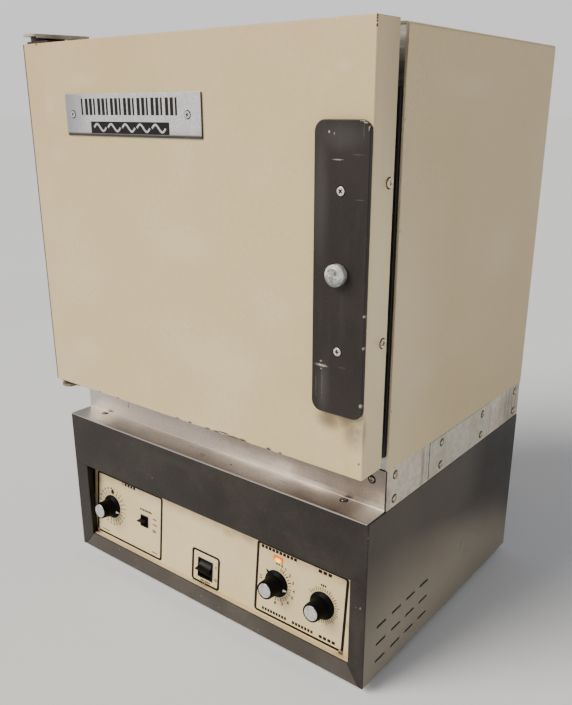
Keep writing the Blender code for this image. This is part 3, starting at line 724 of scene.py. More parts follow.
def piece(name, shape, material, body, slot, stands_for=(), centre=None, lean=0.0, crease=50):
    """A new piece from a shape in design millimetres.

    With a centre, the shape is drawn about that design point, which becomes its origin, and lean
    tips it back about X.
    """
    shape.transform(Matrix.Scale(MM, 4))
    if not centre:
        shape.transform(Matrix.Translation(ORIGIN))
    mesh = into_mesh(name, shape)
    mesh.shade_smooth()
    mesh.set_sharp_from_angle(angle=radians(crease))
    mesh.materials.append(material)
    made = linked(name, mesh)
    if centre:
        made.location = at(*centre)
        made.rotation_euler.x = -lean
    made.modifiers.new("Normals", "WEIGHTED_NORMAL").keep_sharp = True
    bpy.context.view_layer.update()
    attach(made, body)
    if stands_for:
        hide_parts(*stands_for)
    return made


BEIGE = ((213, 191, 147), (206, 182, 137), (222, 206, 168))
DARK = ((44, 39, 38), (38, 33, 32), (64, 59, 55))
RUST = (66, 46, 36)
BARE = (118, 110, 102)


def on_face(y, *spots):
    """Spots on an upright face: X and Z, then half extents in X, Y and Z, of each."""
    return [((px, y, pz), size) for px, pz, *size in spots]


def heads(name, maker, size, side, places, turns, metal, body, slot="sheet_steel"):
    """One piece with a head at each place; turns repeat along the list."""
    shapes = [placed(maker(*size), side, place, turns[n % len(turns)])
              for n, place in enumerate(places)]
    piece(name, merged(shapes), metal, body, slot)


def shadow_rings(name, side, places, radius, body, slot="sheet_steel"):
    """Soiling round heads and painted shadow under them, as thin dark discs."""
    dirt_and_shadow = moulded(f"{name}_dirt", (30, 24, 20), (56, 46, 38), 0.8, Specular_IOR_Level=0.1)
    discs = [placed(lathe([(radius + 1.3, 0), (radius + 1.1, 0.09), (0, 0.09)], 32), side, place)
             for place in places]
    piece(name, merged(discs), dirt_and_shadow, body, slot)


def door():
    x, y, z = span("door_shell")
    foot_chips = (
        (-132.7, 0.0, 2.0, 1.6), (-100.2, 0.0, 2.6, 1.7), (-1.7, 0.2, 3.0, 1.8),
        (17.5, 0.3, 2.2, 2.2), (43.3, 0.2, 4.0, 1.8), (55.8, 0.4, 5.0, 1.4), (66.0, 2.2, 8.0, 0.8),
        (80.0, 0.6, 10.0, 1.4), (92.1, 0.6, 5.0, 2.0), (126.2, 0.5, 3.0, 2.2),
        (140.7, 0.2, 2.2, 1.8), (231.0, 16.4, 0.9, 1.2), (-190.3, 382.3, 1.4, 1.0),
    )
    corner_chips = ((0.9, 1.1), (3.0, 0.75), (5.1, 0.75), (8.0, 1.1))
    chips = [((px, y[0] + 0.4, z[0] + up), (w, 3, h)) for px, up, w, h in foot_chips]
    chips += [((x[1] - 0.2, y[0] + 0.2, z[1] - down), (0.95, 0.95, h)) for down, h in corner_chips]
    smudges = on_face(y[0], (-178, 575, 13, 6, 22), (-170, 520, 22, 6, 16), (-120, 598, 40, 6, 9),
                      (205, 601, 12, 6, 7), (60, 330, 70, 6, 30), (-150, 300, 45, 6, 24),
                      (20, 440, 60, 6, 26), (230, 290, 14, 6, 60))

    def aged(look):
        """Browner at the top left, with painted light down the right-hand side, a smear and painted
        shadow below the handle, and a painted dark reflection down the left-hand bend."""
        top = look.smudge(on_face(y[0], (x[0], z[1], 260, 60, 170), (0, z[1], 500, 60, 60)))
        look.tint(look.times(top, 0.55), (204, 176, 134))
        # Painted light: the right-hand side face is paler, most low down and towards the back.
        side = look.times(look.along(X, x[1] - 0.8, x[1] - 0.2),
                          look.along(Z, 600, 430, 0.15, 0.95))
        side = look.times(side, look.along(Y, y[0], y[0] + 30, 0.6, 1.0))
        look.tint(side, (253, 231, 184))
        # A smear and painted shadow below the handle.
        grime_and_shade = look.smudge(on_face(y[0], (219, 306, 26, 8, 15), (226, 298, 20, 8, 26),
                                    (198, 303, 22, 8, 15)))
        look.tint(look.times(grime_and_shade, 0.84), (112, 94, 72))
        # Painted dark reflection down the left-hand bend of the front.
        look.tint(look.times(look.along(X, x[0] + 3.0, x[0] + 2.2),
                             look.along(Y, y[0] + 1.4, y[0] + 0.9)), (66, 63, 60))

    paint = enamel("door_enamel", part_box("door_shell"), BEIGE, RUST, edge_wear=0.25, chips=chips,
                   smudges=smudges, shade=aged)
    shape = block(x, y, z)
    back = [f for f in shape.faces if f.calc_center_median().y > y[1] - 0.1]
    bmesh.ops.delete(shape, geom=back, context="FACES_ONLY")
    bends = [e for e in shape.edges if len(e.link_faces) == 2]
    rounded_off(shape, bends, BEND, 5)
    shell = piece("door_pan", shape, paint, DOOR, "beige_paint", ["door_shell"])
    wall = shell.modifiers.new("Wall", "SOLIDIFY")
    wall.thickness, wall.offset = THICKNESS * MM, -1.0

    zinc = plated("door_screw_zinc", (236, 226, 204), (150, 134, 106), 0.22, 600)
    for side, edge in (("right", x[1]), ("left", x[0])):
        places = [(edge, DOOR_SCREW_Y, height) for height in DOOR_SCREW_HEIGHTS]
        heads(f"door_screws_{side}", flat_head, DOOR_SCREW, side, places, (25, 70), zinc, DOOR)
        shadow_rings(f"door_screw_rings_{side}", side, places, DOOR_SCREW[0] - 0.4, DOOR)

    dress("door_inner_panel", heated_steel("door_lining", 0.25), 1.0, 3)
    inset = 14
    rim_x, rim_z = (x[0] + inset, x[1] - inset), (z[0] + inset, z[1] - inset)
    places = [(px, y[1] - 0.2, pz) for px in rim_x for pz in (rim_z[0], sum(rim_z) / 2, rim_z[1])]
    places += [(sum(rim_x) / 2, y[1] - 0.2, pz) for pz in rim_z]
    heads("door_lining_screws", pan_head, LINING_SCREW, "back", places, (10, 55, 80), zinc, DOOR)
    dress("door_insulation", wool("door_wool"), 0)
    dress("catch_strike", plated("strike_plate", (186, 184, 180), (140, 132, 120)), 0.3)


def handle_paint(x, y, z):
    """Dark enamel with streaks, painted highlights, scratches, and chips along its right edge."""
    face = y[0]
    look = Look("handle_enamel", Specular_IOR_Level=0.2)
    look.colour = look.mix(look.ramp(look.noise(14, 4, 0.6), 0.35, 0.65), (41, 36, 35),
                           (46, 40, 38))
    streak = look.noise(90, 4, 0.6, (1, 1, 0.12))
    look.tint(look.ramp(streak, 0.5, 0.8, 0.0, 0.22), (76, 70, 68))
    look.tint(look.ramp(look.noise(1100, 3, 0.6), 0.6, 0.72, 0.0, 0.4), (92, 84, 80))
    # Painted highlights: pale streaks down the left side and near the top.
    haze = look.smudge(on_face(face, (188, 500, 12, 6, 80), (194, 335, 10, 6, 34),
                               (208, 548, 34, 6, 16)))
    look.tint(look.times(haze, 0.16), (104, 104, 106))
    thin = look.near(on_face(
        face, (224.5, 534.6, 5.5, 3, 0.35), (213.7, 356.7, 3.4, 3, 0.3), (186.0, 337.0, 0.5, 3, 10),
        (192.6, 338.0, 0.6, 3, 14), (228.6, 553.0, 0.4, 3, 6), (226.5, 500.0, 4.0, 3, 0.3)))
    look.tint(look.times(thin, 0.35), (110, 104, 100))
    patch = look.near(
        on_face(face, (191.8, 354.8, 5.4, 3, 1.0), (191.0, 358.6, 1.2, 3, 0.5),
                (191.5, 351.4, 0.5, 3, 0.8), (204.7, 530.4, 4.2, 3, 0.4),
                (196.0, 551.6, 0.8, 3, 0.9), (200.9, 550.3, 0.5, 3, 0.6))
        + on_face(face + 0.5, (x[1] - 0.4, 405.6, 0.9, 2, 1.0), (x[1] - 0.4, 377.9, 0.7, 2, 1.1),
                  (x[1] - 1.2, 325.8, 1.1, 3, 1.5))
        + on_face(face, (x[1] - 3.8, z[1] - 2.2, 2.2, 2, 0.5),
                  (x[1] - 7.0, z[1] - 0.9, 2.2, 2, 0.35), (x[1] - 1.3, z[1] - 6, 0.4, 2, 2.0)),
        0.7)
    look.tint(patch, (170, 160, 148))
    smear = look.noise(24, 3, 0.6, (1, 1, 0.3), shift=2.0)
    look.relief((look.noise(500, 3), 0.006), (look.times(patch, -1.0), 0.08))
    return look.done(look.ramp(smear, 0.35, 0.7, 0.36, 0.52))


def handle():
    x, y, z = span("handle_plate")
    outline = rounded((x[0] + 1.9, x[1]), z, HANDLE_CORNER, 10)
    shape = placed(extruded(outline, -y[1], -y[0], 0.8, 4), "front")
    piece("handle_board", shape, handle_paint(x, y, z), DOOR, "dark_paint", ["handle_plate"])
    zinc = plated("handle_screw_zinc", (236, 232, 224), (176, 168, 154), 0.3)
    pull_x, (front, back), _ = span("pull_knob")
    radius, length = (pull_x[1] - pull_x[0]) / 2, back - front
    centre = middle("pull_knob")
    centre = (centre[X], back, centre[Z])
    places = [(centre[X], y[0], height) for height in PLATE_SCREW_HEIGHTS]
    heads("handle_screws", flat_head, PLATE_SCREW, "front", places, (5, 50), zinc, DOOR)
    shadow_rings("handle_screw_shadow_rings", "front", places, PLATE_SCREW[0] - 0.3, DOOR, "dark_paint")

    profile = [
        (8.6, 0.0), (8.6, 0.5), (radius - 0.35, 0.9), (radius - 0.2, 1.4),
        (radius - 0.2, length * 0.60), (radius - 0.5, length * 0.63), (radius - 0.5, length * 0.67),
        (radius, length * 0.70), (radius, length * 0.76), (radius - 2.2, length - 0.15),
        (radius - 2.5, length), (radius - 2.8, length - 0.05), (radius - 3.1, length - 0.4),
        (3.2, length - 0.35), (0, length - 0.35),
    ]

    def flutes(angle, height):
        return 0.15 * cos(44 * angle) if 1.2 < height < length * 0.61 else 0.0

    def fingered(look):
        """Painted shade: darker underneath."""
        look.tint(look.ramp(look.axes[Z], 0.0030, -0.0060, 0.0, 0.65), (70, 66, 63))

    metal = spun("pull_aluminium", (236, 236, 234), (160, 156, 150), 0.32, 0.6, 500, 0.5, fingered)
    piece("pull_handle", placed(lathe(profile, 176, flutes), "front"), metal, DOOR, "aluminium",
          ["pull_knob"], centre=centre, crease=28)
    worn = spun("pull_face_aluminium", (196, 194, 190), (96, 92, 88), 0.34, 1.0, 620)
    rim = radius - 3.15
    face = lathe([(rim, length - 0.45), (rim, length - 0.3), (0, length - 0.28)], 64)
    piece("pull_face", placed(face, "front"), worn, DOOR, "aluminium", centre=centre, crease=28)


def nameplate():
    x, y, z = span("nameplate")

    def dulled(look):
        """Darker at the left end and along the foot, with painted shadow on the lower rim."""
        end = look.along(X, x[0] + 48, x[0] + 4, 0.0, 0.85)
        foot = look.along(Z, z[0] + 9, z[0], 0.0, 0.4)
        look.tint(look.most(end, foot), (162, 161, 165))
        # Painted shadow along the lower bevel.
        look.tint(look.along(Z, z[0] + 2.4, z[0] + 1.1, 0.0, 0.8), (98, 94, 92))

    metal = brushed("nameplate_aluminium", (182, 180, 184), (240, 239, 242), (1, 1, 0.25), 0.36,
                    0.006, 0.5, 60, dulled)
    piece("name_badge", block((x[0] + 1.5, x[1]), y, (z[0] + 0.8, z[1]), 0.3), metal, DOOR,
          "aluminium", ["nameplate"])
    # A dark strip below and to the right of the badge: painted shadow under its edges.
    edge = moulded("badge_shadow_edge", (40, 35, 33), (66, 60, 57), 0.5)
    depth = (y[0] + 0.1, y[1])
    rim = merged([block((x[0] + 2.0, x[1] + 0.9), depth, (z[0] - 1.3, z[0] + 0.9), 0.2),
                  block((x[1] - 0.1, x[1] + 1.0), depth, (z[0] - 1.0, z[1] - 0.4), 0.2)])
    piece("badge_shadow_backing", rim, edge, DOOR, "aluminium")

    black = moulded("badge_black", (18, 13, 12), (34, 28, 27), 0.5, Specular_IOR_Level=0.2)
    bars, first, last = 22, -121.0, 24.5
    pitch = (last - first) / bars
    marks = []
    for n in range(bars):
        left = first + n * pitch
        marks.append(bar((left, left + pitch * (0.66 if n % 3 else 0.40)),
                         (z[0] + 19.2, z[0] + 35.2)))
    field = ((-107.0, 9.2), (z[0] + 1.5, z[0] + 13.0))
    marks.append(extruded(rounded(*field, 0.6, 3), 0, INK))
    piece("badge_print", placed(merged(marks), "front", (0, y[0], 0)), black, DOOR, "aluminium")
    height, rise, length, steps = sum(field[1]) / 2, 3.4, 19, 16
    waves = []
    for n in range(5):
        left = field[0][0] + 5 + n * 21.8
        waves.append(ribbon([(left + length * t / steps, height + rise * sin(2 * pi * t / steps))
                             for t in range(steps + 1)], 2.1))
    shape = placed(merged(waves), "front", (0, y[0] - INK, 0))
    piece("badge_waves", shape, metal, DOOR, "aluminium")
    zinc = plated("badge_screw_zinc", (244, 241, 236), (186, 178, 168), 0.2, 500)
    places = [(px, y[0], sum(z) / 2) for px in NAME_SCREW_X]
    heads("badge_screws", flat_head, NAME_SCREW, "front", places, (35, 80), zinc, DOOR)
    shadow_rings("badge_screw_rings", "front", places, NAME_SCREW[0] - 0.4, DOOR, "aluminium")


def ribbon(points, width):
    """A flat strip of print along a line."""
    left, right = [], []
    for number, (px, py) in enumerate(points):
        bx, by = points[max(number - 1, 0)]
        ax, ay = points[min(number + 1, len(points) - 1)]
        along = Vector((ax - bx, ay - by)).normalized() * width / 2
        left.append((px - along.y, py + along.x))
        right.append((px + along.y, py - along.x))
    return extruded(left + right[::-1], 0, INK)


def hinges():
    looks = (("upper", "hinge_enamel", ((204, 190, 168), (168, 152, 132), (224, 217, 204))),
             ("lower", "lower_hinge_enamel", ((158, 140, 116), (118, 102, 84), (184, 168, 144))))
    for end, name, tones in looks:
        node = f"{end}_hinge_bracket"
        dress(node, enamel(name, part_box(node), tones, (60, 50, 44), 0.5, 0.02, 40.0, 0.5,
                           gloss=0.3, mottle=0.7), 0.3)
    steel = brushed("hinge_steel", (58, 50, 45), (92, 82, 74), (1, 0.3, 1), 0.45, 0.02, 0.6, 40)
    dress("upper_hinge_leaf lower_hinge_leaf", steel, 0.3)
    nylon = moulded("hinge_nylon", (28, 25, 24), (48, 44, 42), 0.5)
    dress("upper_hinge_bush lower_hinge_bush", nylon, 0.4)

    x, y, _ = span("upper_hinge_bracket")
    door_top, bush_top = span("door_shell")[2][1], span("upper_hinge_bush")[2][1]
    # A dark web and tab fill the gap over the door: partly the hinge's dark parts, partly painted
    # shade.
    black = moulded("hinge_web_black", (26, 22, 20), (44, 38, 34), 0.6, Specular_IOR_Level=0.15)
    wide, top = (x[0] + 0.6, x[0] + 2.2), bush_top + 0.4
    web = block(wide, (y[0] + 30.5, y[0] + 53), (door_top + 1.0, top), 0.2)
    tab = block(wide, (y[0] + 21.5, y[0] + 31), (door_top + 2.9, top), 0.2)
    piece("upper_hinge_web", merged([web, tab]), black, OVEN, "dark_paint")
    zinc = plated("hinge_screw_zinc", (172, 166, 156), (112, 100, 84))
    heel = span("cabinet_wrap")[2][1] + 2.7
    places = [(px, y[1] - 16, heel) for px in (x[0] + 9, x[1] - 9)]
    heads("hinge_screws", pan_head, SMALL_SCREW, "up", places, (15, 65), zinc, OVEN)


def cabinet():
    x, y, z = span("cabinet_wrap")
    chips = [((x[1], y[0] + 0.3, pz), (2, 1.0, h)) for pz, h in (
        (300.0, 0.8), (468.0, 0.9), (560.0, 0.6))]
    smudges = [((x[1], 140, 590), (6, 90, 24)), ((x[1], 250, 420), (6, 70, 50)),
               ((x[1], 90, 320), (6, 50, 26)), ((x[0], 200, 500), (6, 90, 40))]

    def faded(look):
        """Painted light, paler low down near the door; painted shade, browner towards the back."""
        look.tint(look.times(look.along(Y, 150, 36), look.along(Z, 570, 380, 0.0, 0.6)),
                  (230, 211, 171))
        look.tint(look.along(Y, 140, 350, 0.0, 0.28), (190, 167, 124))

    def rubbed(look):
        """Browner near the top."""
        look.tint(look.along(Z, z[1] - 50, z[1] - 12, 0.0, 0.85), (84, 70, 58))

    def arch(half):
        """The line up one side, across the top and down, half a sheet in from the outside."""
        left, right, top = x[0] + half, x[1] - half, z[1] - half
        return [(left, z[0]), (left, top), (right, top), (right, z[0])]

    paint = enamel("cabinet_enamel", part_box("cabinet_wrap"), BEIGE, RUST, edge_wear=0.2,
                   chips=chips, smudges=smudges, cloud=2.4, shade=faded)
    sheet = extruded(folded(arch(THICKNESS / 2), THICKNESS, 2.4), -y[1], -y[0], SOFT_EDGE, 2)
    piece("cabinet_skin", placed(sheet, "front"), paint, OVEN, "beige_paint", ["cabinet_wrap"])
    hem = extruded(folded(arch(HEM / 2), HEM, 2.0), -y[0] - 0.2, -y[0] + 0.7, 0.4)
    # Paler than the cabinet's own paint: a painted highlight along the rolled front edge.
    tones = ((226, 208, 172), (216, 196, 158), (236, 222, 192))
    lip = enamel("hem_enamel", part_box("cabinet_wrap"), tones, RUST, mottle=0.5, cloud=20.0,
                 shade=rubbed)
    piece("cabinet_hem", placed(hem, "front"), lip, OVEN, "beige_paint")
    dress("cabinet_back", enamel("back_enamel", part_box("cabinet_back"), BEIGE, RUST, cloud=2.4))
    dress("cabinet_floor", galvanised("floor_zinc"))
    dress("face_frame", brushed("face_steel", (150, 146, 140), (186, 183, 178), (0.05, 1, 1), 0.34,
                                0.004, 0.4, 12))
    fibre = moulded("breaker_board", (24, 22, 22), (42, 40, 38), 0.6, 0.02, 300)
    dress("breaker_frame", fibre, 0.4)
    dress("magnetic_catch", moulded("catch_plastic", (26, 25, 25), (46, 44, 42), 0.45), 0.6)
    dress("insulation_jacket", wool("jacket_wool"), 0)

    x, y, z = span("cabinet_back")
    inset = 9
    rows = (z[0] + inset, z[0] * 0.5 + z[1] * 0.5, z[1] - inset)
    places = [(px, y[1], pz) for px in (x[0] + inset, x[1] - inset) for pz in rows]
    places += [(0, y[1], rows[0]), (0, y[1], rows[2])]
    zinc = plated("back_screw_zinc", (210, 204, 190), (134, 120, 100))
    heads("cabinet_back_screws", pan_head, BACK_SCREW, "back", places, (20, 65, 40), zinc, OVEN)
    shadow_rings("cabinet_back_rings", "back", places, BACK_SCREW[0] - 0.4, OVEN)


def gasket():
    """A hollow-bulb silicone seal swept round the opening with rounded corners."""
    x, y, z = span("door_gasket")
    rubber = moulded("gasket_rubber_look", (26, 25, 26), (46, 44, 44), 0.6, 0.03, 260)
    half, corner = 9.0, 12
    depth = y[1] - y[0]
    bulb = [(6.8 * cos(a), depth * 0.56 + (depth * 0.44) * sin(a))
            for a in (radians(200 - 22 * n) for n in range(11))]
    section = [(-half, 0), (-half, 2.2), (-5.4, 3.2), *bulb, (5.4, 3.2), (half, 2.2), (half, 0)]
    shape = bmesh.new()
    loops = []
    for off, up in section:
        inset = half - off
        line = rounded((x[0] + inset, x[1] - inset), (z[0] + inset, z[1] - inset),
                       corner + off * 0.9)
        loops.append([shape.verts.new((a, y[1] - up, b)) for a, b in line])
    for first, second in zip(loops, loops[1:] + loops[:1]):
        bridge(shape, first, second)
    bmesh.ops.recalc_face_normals(shape, faces=shape.faces)
    piece("door_seal", shape, rubber, OVEN, "gasket_rubber", ["door_gasket"])


def chamber():
    steel = heated_steel("liner_steel")
    dress("chamber_liner", steel, 0.5)
    dress("chamber_floor", heated_steel("floor_steel", 0.8))
    dress("shelf_support_left shelf_support_right", steel, 0.2, 1)
    dress("thermostat_bulb", plated("bulb_copper", (190, 130, 96), (120, 82, 60)), 0.5)
    dress("heater_element", plated("heater_sheath_look", (86, 80, 76), (56, 48, 44), 0.5), 0)
    chrome = plated("shelf_chrome", (206, 206, 206), (164, 150, 128), 0.16, 60)
    pitch, each_side = 12.0, 12
    for node in ("shelf_lower", "shelf_upper"):
        x, y, z = span(node)
        low_z, high_z = z[0] + 2.0, z[1] - 1.5
        border = [(a, b, low_z) for a, b in rounded((x[0] + 2, x[1] - 2), (y[0] + 2, y[1] - 2), 7)]
        bars = [wire(border, 2.0, True)]
        for px in (n * pitch for n in range(-each_side, each_side + 1)):
            bars.append(wire([(px, y[0] + 1.2, high_z), (px, y[1] - 1.2, high_z)], 1.25))
        for py in (y[0] + 60, sum(y) / 2, y[1] - 60):
            bars.append(wire([(x[0] + 2, py, low_z - 0.4), (x[1] - 2, py, low_z - 0.4)], 1.5))
        piece(f"{node}_wires", merged(bars), chrome, OVEN, "shelf_wire", [node])


def exhaust():
    metal = spun("vent_aluminium", (206, 206, 206), (160, 158, 154), 0.32)
    dress("exhaust_vent vent_shutter", metal, 0.3)
    _, y, _ = span("vent_shutter")
    vent_x, _, vent_z = pin("vent_turn")
    shape = placed(lathe([(3.2, 0), (3.1, 0.8), (2.2, 1.5), (0, 1.7)], 24), "back",
                   (vent_x, y[0] + 1.5, vent_z))
    piece("vent_rivet", shape, plated("vent_rivet_zinc", (180, 176, 170), (130, 120, 104)),
          "vent_disc", "aluminium")


def band():
    side_x = span("band_right")[0][1]
    runs = [((side_x, py, pz), size) for py, pz, size in (
        (104, 216, (5, 6, 40)), (113, 216, (5, 3, 40)), (272, 216, (5, 5, 40)),
        (30, 206, (5, 14, 20)), (345, 216, (5, 80, 90)), (226, 201, (4, 4, 3)))]
    seams = [((side_x, py, 216), (5, 0.9, 60)) for py in (STRAP_Y[0] - 0.5, STRAP_Y[1] + 0.5)]
    zinc = galvanised("band_zinc", runs=runs, seams=seams)
    dress("band_left band_right band_rear base_deck", zinc, 0.25)
    lapped = galvanised("strap_zinc", (212, 207, 190), (168, 161, 144))
    rivets = plated("rivet_zinc", (196, 180, 152), (96, 80, 62), 0.18, 420)
    for side, end, sign in (("left", 0, -1), ("right", 1, 1)):
        x, _, z = span(f"band_{side}")
        face = x[end]
        limits = sorted((face, face + sign * STRAP))
        strap = block(limits, STRAP_Y, (z[0] + 0.6, z[1] - 0.6), 0.15, 2)
        piece(f"band_strap_{side}", strap, lapped, OVEN, "galvanised")
        places = []
        for py in RIVETS_Y:
            stand = STRAP if STRAP_Y[0] < py < STRAP_Y[1] else 0.0
            places += [(face + sign * stand, py, pz) for pz in RIVETS_Z]
        heads(f"band_rivets_{side}", rivet_head, RIVET, side, places, (0,), rivets, OVEN,
              "galvanised")
        shadow_rings(f"band_rivet_rings_{side}", side, places, RIVET[0] - 0.2, OVEN, "galvanised")
    back = span("band_rear")[1][1]
    places = [(px, back, pz) for px in (-190, -64, 64, 190) for pz in RIVETS_Z]
    heads("band_rivets_rear", rivet_head, RIVET, "back", places, (0,), rivets, OVEN, "galvanised")


def trim_steel(x, y, z, scratches):
    """Fine-grained stainless with a painted highlight along its bend, and painted shade on the
    riser below the door and towards the right, where it is darker and browner.
    """
    look = Look("ledge_stainless", Metallic=1.0)
    grains = look.noise(1400, 3, 0.6, (0.1, 1, 1))
    coarse = look.noise(900, 3, 0.6, (0.5, 1, 1), shift=2.1)
    cloudy = look.noise(18, 5, 0.65)
    look.colour = look.mix(look.ramp(grains, 0.25, 0.75), (160, 152, 147), (180, 172, 167))
    look.tint(look.ramp(coarse, 0.4, 0.65, 0.0, 0.7), (204, 198, 194))
    look.tint(look.along(X, x[0] + 140, x[0] + 20, 0.0, 0.85), (206, 198, 191))

    # The tread is darker from near the left end to the middle.
    tread = look.along(Z, z[0] + 3.5, z[0] + 1.5)
    darker_tread = look.times(look.along(X, -195, -160, 0.0, 0.28), look.along(X, 15, 65, 1.0, 0.0))
    look.tint(look.times(tread, darker_tread), (108, 97, 90))
    spared = look.times(tread, look.along(X, 188, 222, 0.0, 0.85))
    # Painted shade: darker and browner towards the right, less on the tread's far end.
    dull = look.times(look.along(X, 98, 165, 0.0, 0.78), look.minus(1.0, spared))
    dull = look.times(dull, look.along(X, 196, 226, 1.0, 0.92))
    dull = look.times(dull, look.ramp(cloudy, 0.25, 0.6, 0.85, 1.0))
    look.tint(dull, (101, 92, 86))
    look.tint(look.times(tread, look.along(X, 198, 222, 0.0, 0.8)), (222, 215, 208))
    # Painted shade on the riser below the door.
    rise = look.times(look.along(Z, z[0] + 8, z[0] + 22, 0.0, 0.8),
                      look.along(X, -30, 45, 0.12, 1.0))
    look.tint(look.times(rise, look.ramp(cloudy, 0.3, 0.65, 0.3, 1.0)), (140, 127, 117))

    # Painted highlight along the bend.
    bend = look.spot((0, y[1] - 1.6, z[0] + 3.6), (1e6, 5.6, 5.6))
    shine = look.times(look.ramp(bend, 1.0, 0.35, 0.0, 0.9),
                       look.ramp(look.noise(30, 3, 0.6, (0.4, 1, 1)), 0.2, 0.6, 0.55, 1.0))
    shine = look.times(shine, look.times(look.along(X, -40, 50, 0.2, 1.0),
                                         look.along(X, 135, 175, 1.0, 0.25)))
    look.tint(shine, (206, 198, 191))
    look.tint(look.along(Y, y[0] + 1.6, y[0] + 0.8), (196, 188, 181))
    look.tint(look.near(scratches), (58, 46, 40))
    look.relief((grains, 0.004), (coarse, 0.012))
    return look.done(look.ramp(cloudy, 0.3, 0.7, 0.36, 0.5))


def ledge():
    x, y, z = span("ledge_trim")
    half = THICKNESS / 2
    scratches = [((-6, 14, z[0]), (0.5, 5, 4)), ((-2, 12, z[0]), (0.5, 4, 4)),
                 ((38.8, 15, z[0]), (1.4, 1.0, 4)), ((-30, 22, z[0]), (6, 0.4, 4)),
                 ((110, 19, z[0]), (9, 0.35, 4)), ((-150, y[1], 214), (0.5, 4, 5))]
    path = [(y[0], z[0] + half), (y[1] - half, z[0] + half), (y[1] - half, z[1])]
    shape = extruded(folded(path, THICKNESS, 1.6), x[0] + 1.3, x[1] - 1.6, 0.3, 2)
    shape.transform(Matrix(((0, 0, 1, 0), (1, 0, 0, 0), (0, 1, 0, 0), (0, 0, 0, 1))))
    piece("ledge_sheet", shape, trim_steel(x, y, z, scratches), OVEN, "stainless_trim",
          ["ledge_trim"])
    dark = plated("ledge_screw_steel", (176, 164, 148), (30, 24, 20), 0.22, 700)
    places = [(px, y[1] - 6.2, z[0] + THICKNESS) for px in LEDGE_SCREWS_X]
    riser = [(RISER_SCREW[0], y[1] - THICKNESS, RISER_SCREW[1])]
    halo = LEDGE_SCREW[0] + 0.1
    heads("ledge_screws", pan_head, LEDGE_SCREW, "up", places, (10, 40), dark, OVEN)
    shadow_rings("ledge_screw_rings", "up", places, halo, OVEN, "stainless_trim")
    heads("riser_screw", pan_head, LEDGE_SCREW, "front", riser, (30,), dark, OVEN)
    shadow_rings("riser_screw_ring", "front", riser, halo, OVEN, "stainless_trim")


def base():
    chips = on_face(0.3, (-2, 12, 1.1, 3, 1.0), (26, 8, 0.8, 3, 0.7), (-152.2, 18.1, 1.3, 3, 0.8),
                    (-119.9, 15.4, 0.8, 3, 0.9), (88, 6, 0.9, 3, 0.7), (223.1, 97.0, 0.9, 3, 1.1),
                    (217.8, 96.0, 0.5, 3, 0.6))
    chips += [((228.6, 0.8, 179.1), (0.6, 0.8, 1.6)), ((228.9, 121.6, 64.2), (2, 3.2, 0.6)),
              ((-77.6, 0.3, 146.6), (0.9, 3, 0.6))]
    scuffs = on_face(0, (-103.1, 150.2, 9, 4, 3), (-83.8, 148.1, 12, 4, 4),
                     (127.6, 147.6, 16, 4, 5), (155.8, 144.8, 10, 4, 4), (220, 60, 7, 4, 30),
                     (-40, 180, 60, 4, 8))
    dents = [((228.9, 224.5, 57), (4, 9, 20)), ((228.9, 218, 70), (4, 5, 12))]
    inner = span("stile_left")[0][1]

    def paling(look):
        """Painted light from the floor: lighter towards the bottom.

        The pale part's edge falls towards the back, by 1 mm for every slope mm.
        """
        slope, foot = 2.2, at(0, 0, 40)
        slant = look.plus(look.axes[Y], look.times(look.axes[Z], slope))
        start = foot.y + slope * foot.z
        fade = look.times(look.ramp(slant, start + 0.45, start + 0.28, 0.16, 1.0),
                          look.along(Z, 168, 32, 0.22, 1.0))
        fade = look.most(fade, look.along(Y, 290, 200, 0.0, 0.24))
        fade = look.times(fade, look.along(Y, 0, 70, 0.78, 1.0))
        # Painted floor light, broken a little by noise.
        floor_light_mask = look.times(fade, look.ramp(look.noise(7, 4, 0.6), 0.25, 0.75, 0.8, 1.0))
        look.tint(floor_light_mask, (151, 141, 125))

    def shaded_return(look):
        """The stile's return flange, which never sees the light, is nearly black."""
        look.tint(look.along(X, inner - 1.6, inner - 1.1), (9, 8, 8))

    shades = {"base_wrap": paling, "stile_left": shaded_return}
    rail_tones = ((76, 70, 66), (66, 60, 56), (92, 87, 82))
    for node in ("fascia_header", "stile_left", "stile_right", "bottom_rail", "base_wrap"):
        tones = rail_tones if node == "bottom_rail" else DARK
        paint = enamel(f"{node}_enamel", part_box(node), tones, BARE, 0.40, 0.006, 4.0, 0.12, chips,
                       scuffs, 0.18, 0.4, shades.get(node), dents)
        dress(node, paint, 0.45, 3)
    dress("base_bottom", galvanised("bottom_zinc"))
    rubber = moulded("foot_rubber_look", (30, 29, 28), (58, 54, 50), 0.65, 0.05, 200)
    zinc = plated("foot_screw_zinc", (160, 154, 144), (104, 92, 78))
    well = 3.6
    for number in range(1, 5):
        node = f"foot_{number}"
        x, y, z = span(node)
        centre_x, centre_y, tall = sum(x) / 2, sum(y) / 2, z[1] - z[0]
        profile = [(11.0, 0), (11.0, tall - 2.4), (10.6, tall - 1.0), (9.5, tall), (5.0, tall),
                   (4.6, tall - 0.4), (4.4, tall - well), (0, tall - well)]
        pad = placed(lathe(profile, 40), "down", (centre_x, centre_y, z[1]))
        piece(f"{node}_pad", pad, rubber, OVEN, "foot_rubber", [node])
        heads(f"{node}_screw", pan_head, SMALL_SCREW, "down",
              [(centre_x, centre_y, z[1] - tall + well)], (0,), zinc, OVEN)
    back = span("base_wrap")[1][1]
    places = [(px, back, pz) for px in (-214, 214) for pz in (14, 178)]
    heads("base_back_screws", pan_head, BACK_SCREW, "back", places, (20, 70), zinc, OVEN)


# ---------------------------------------------------------------- control panel

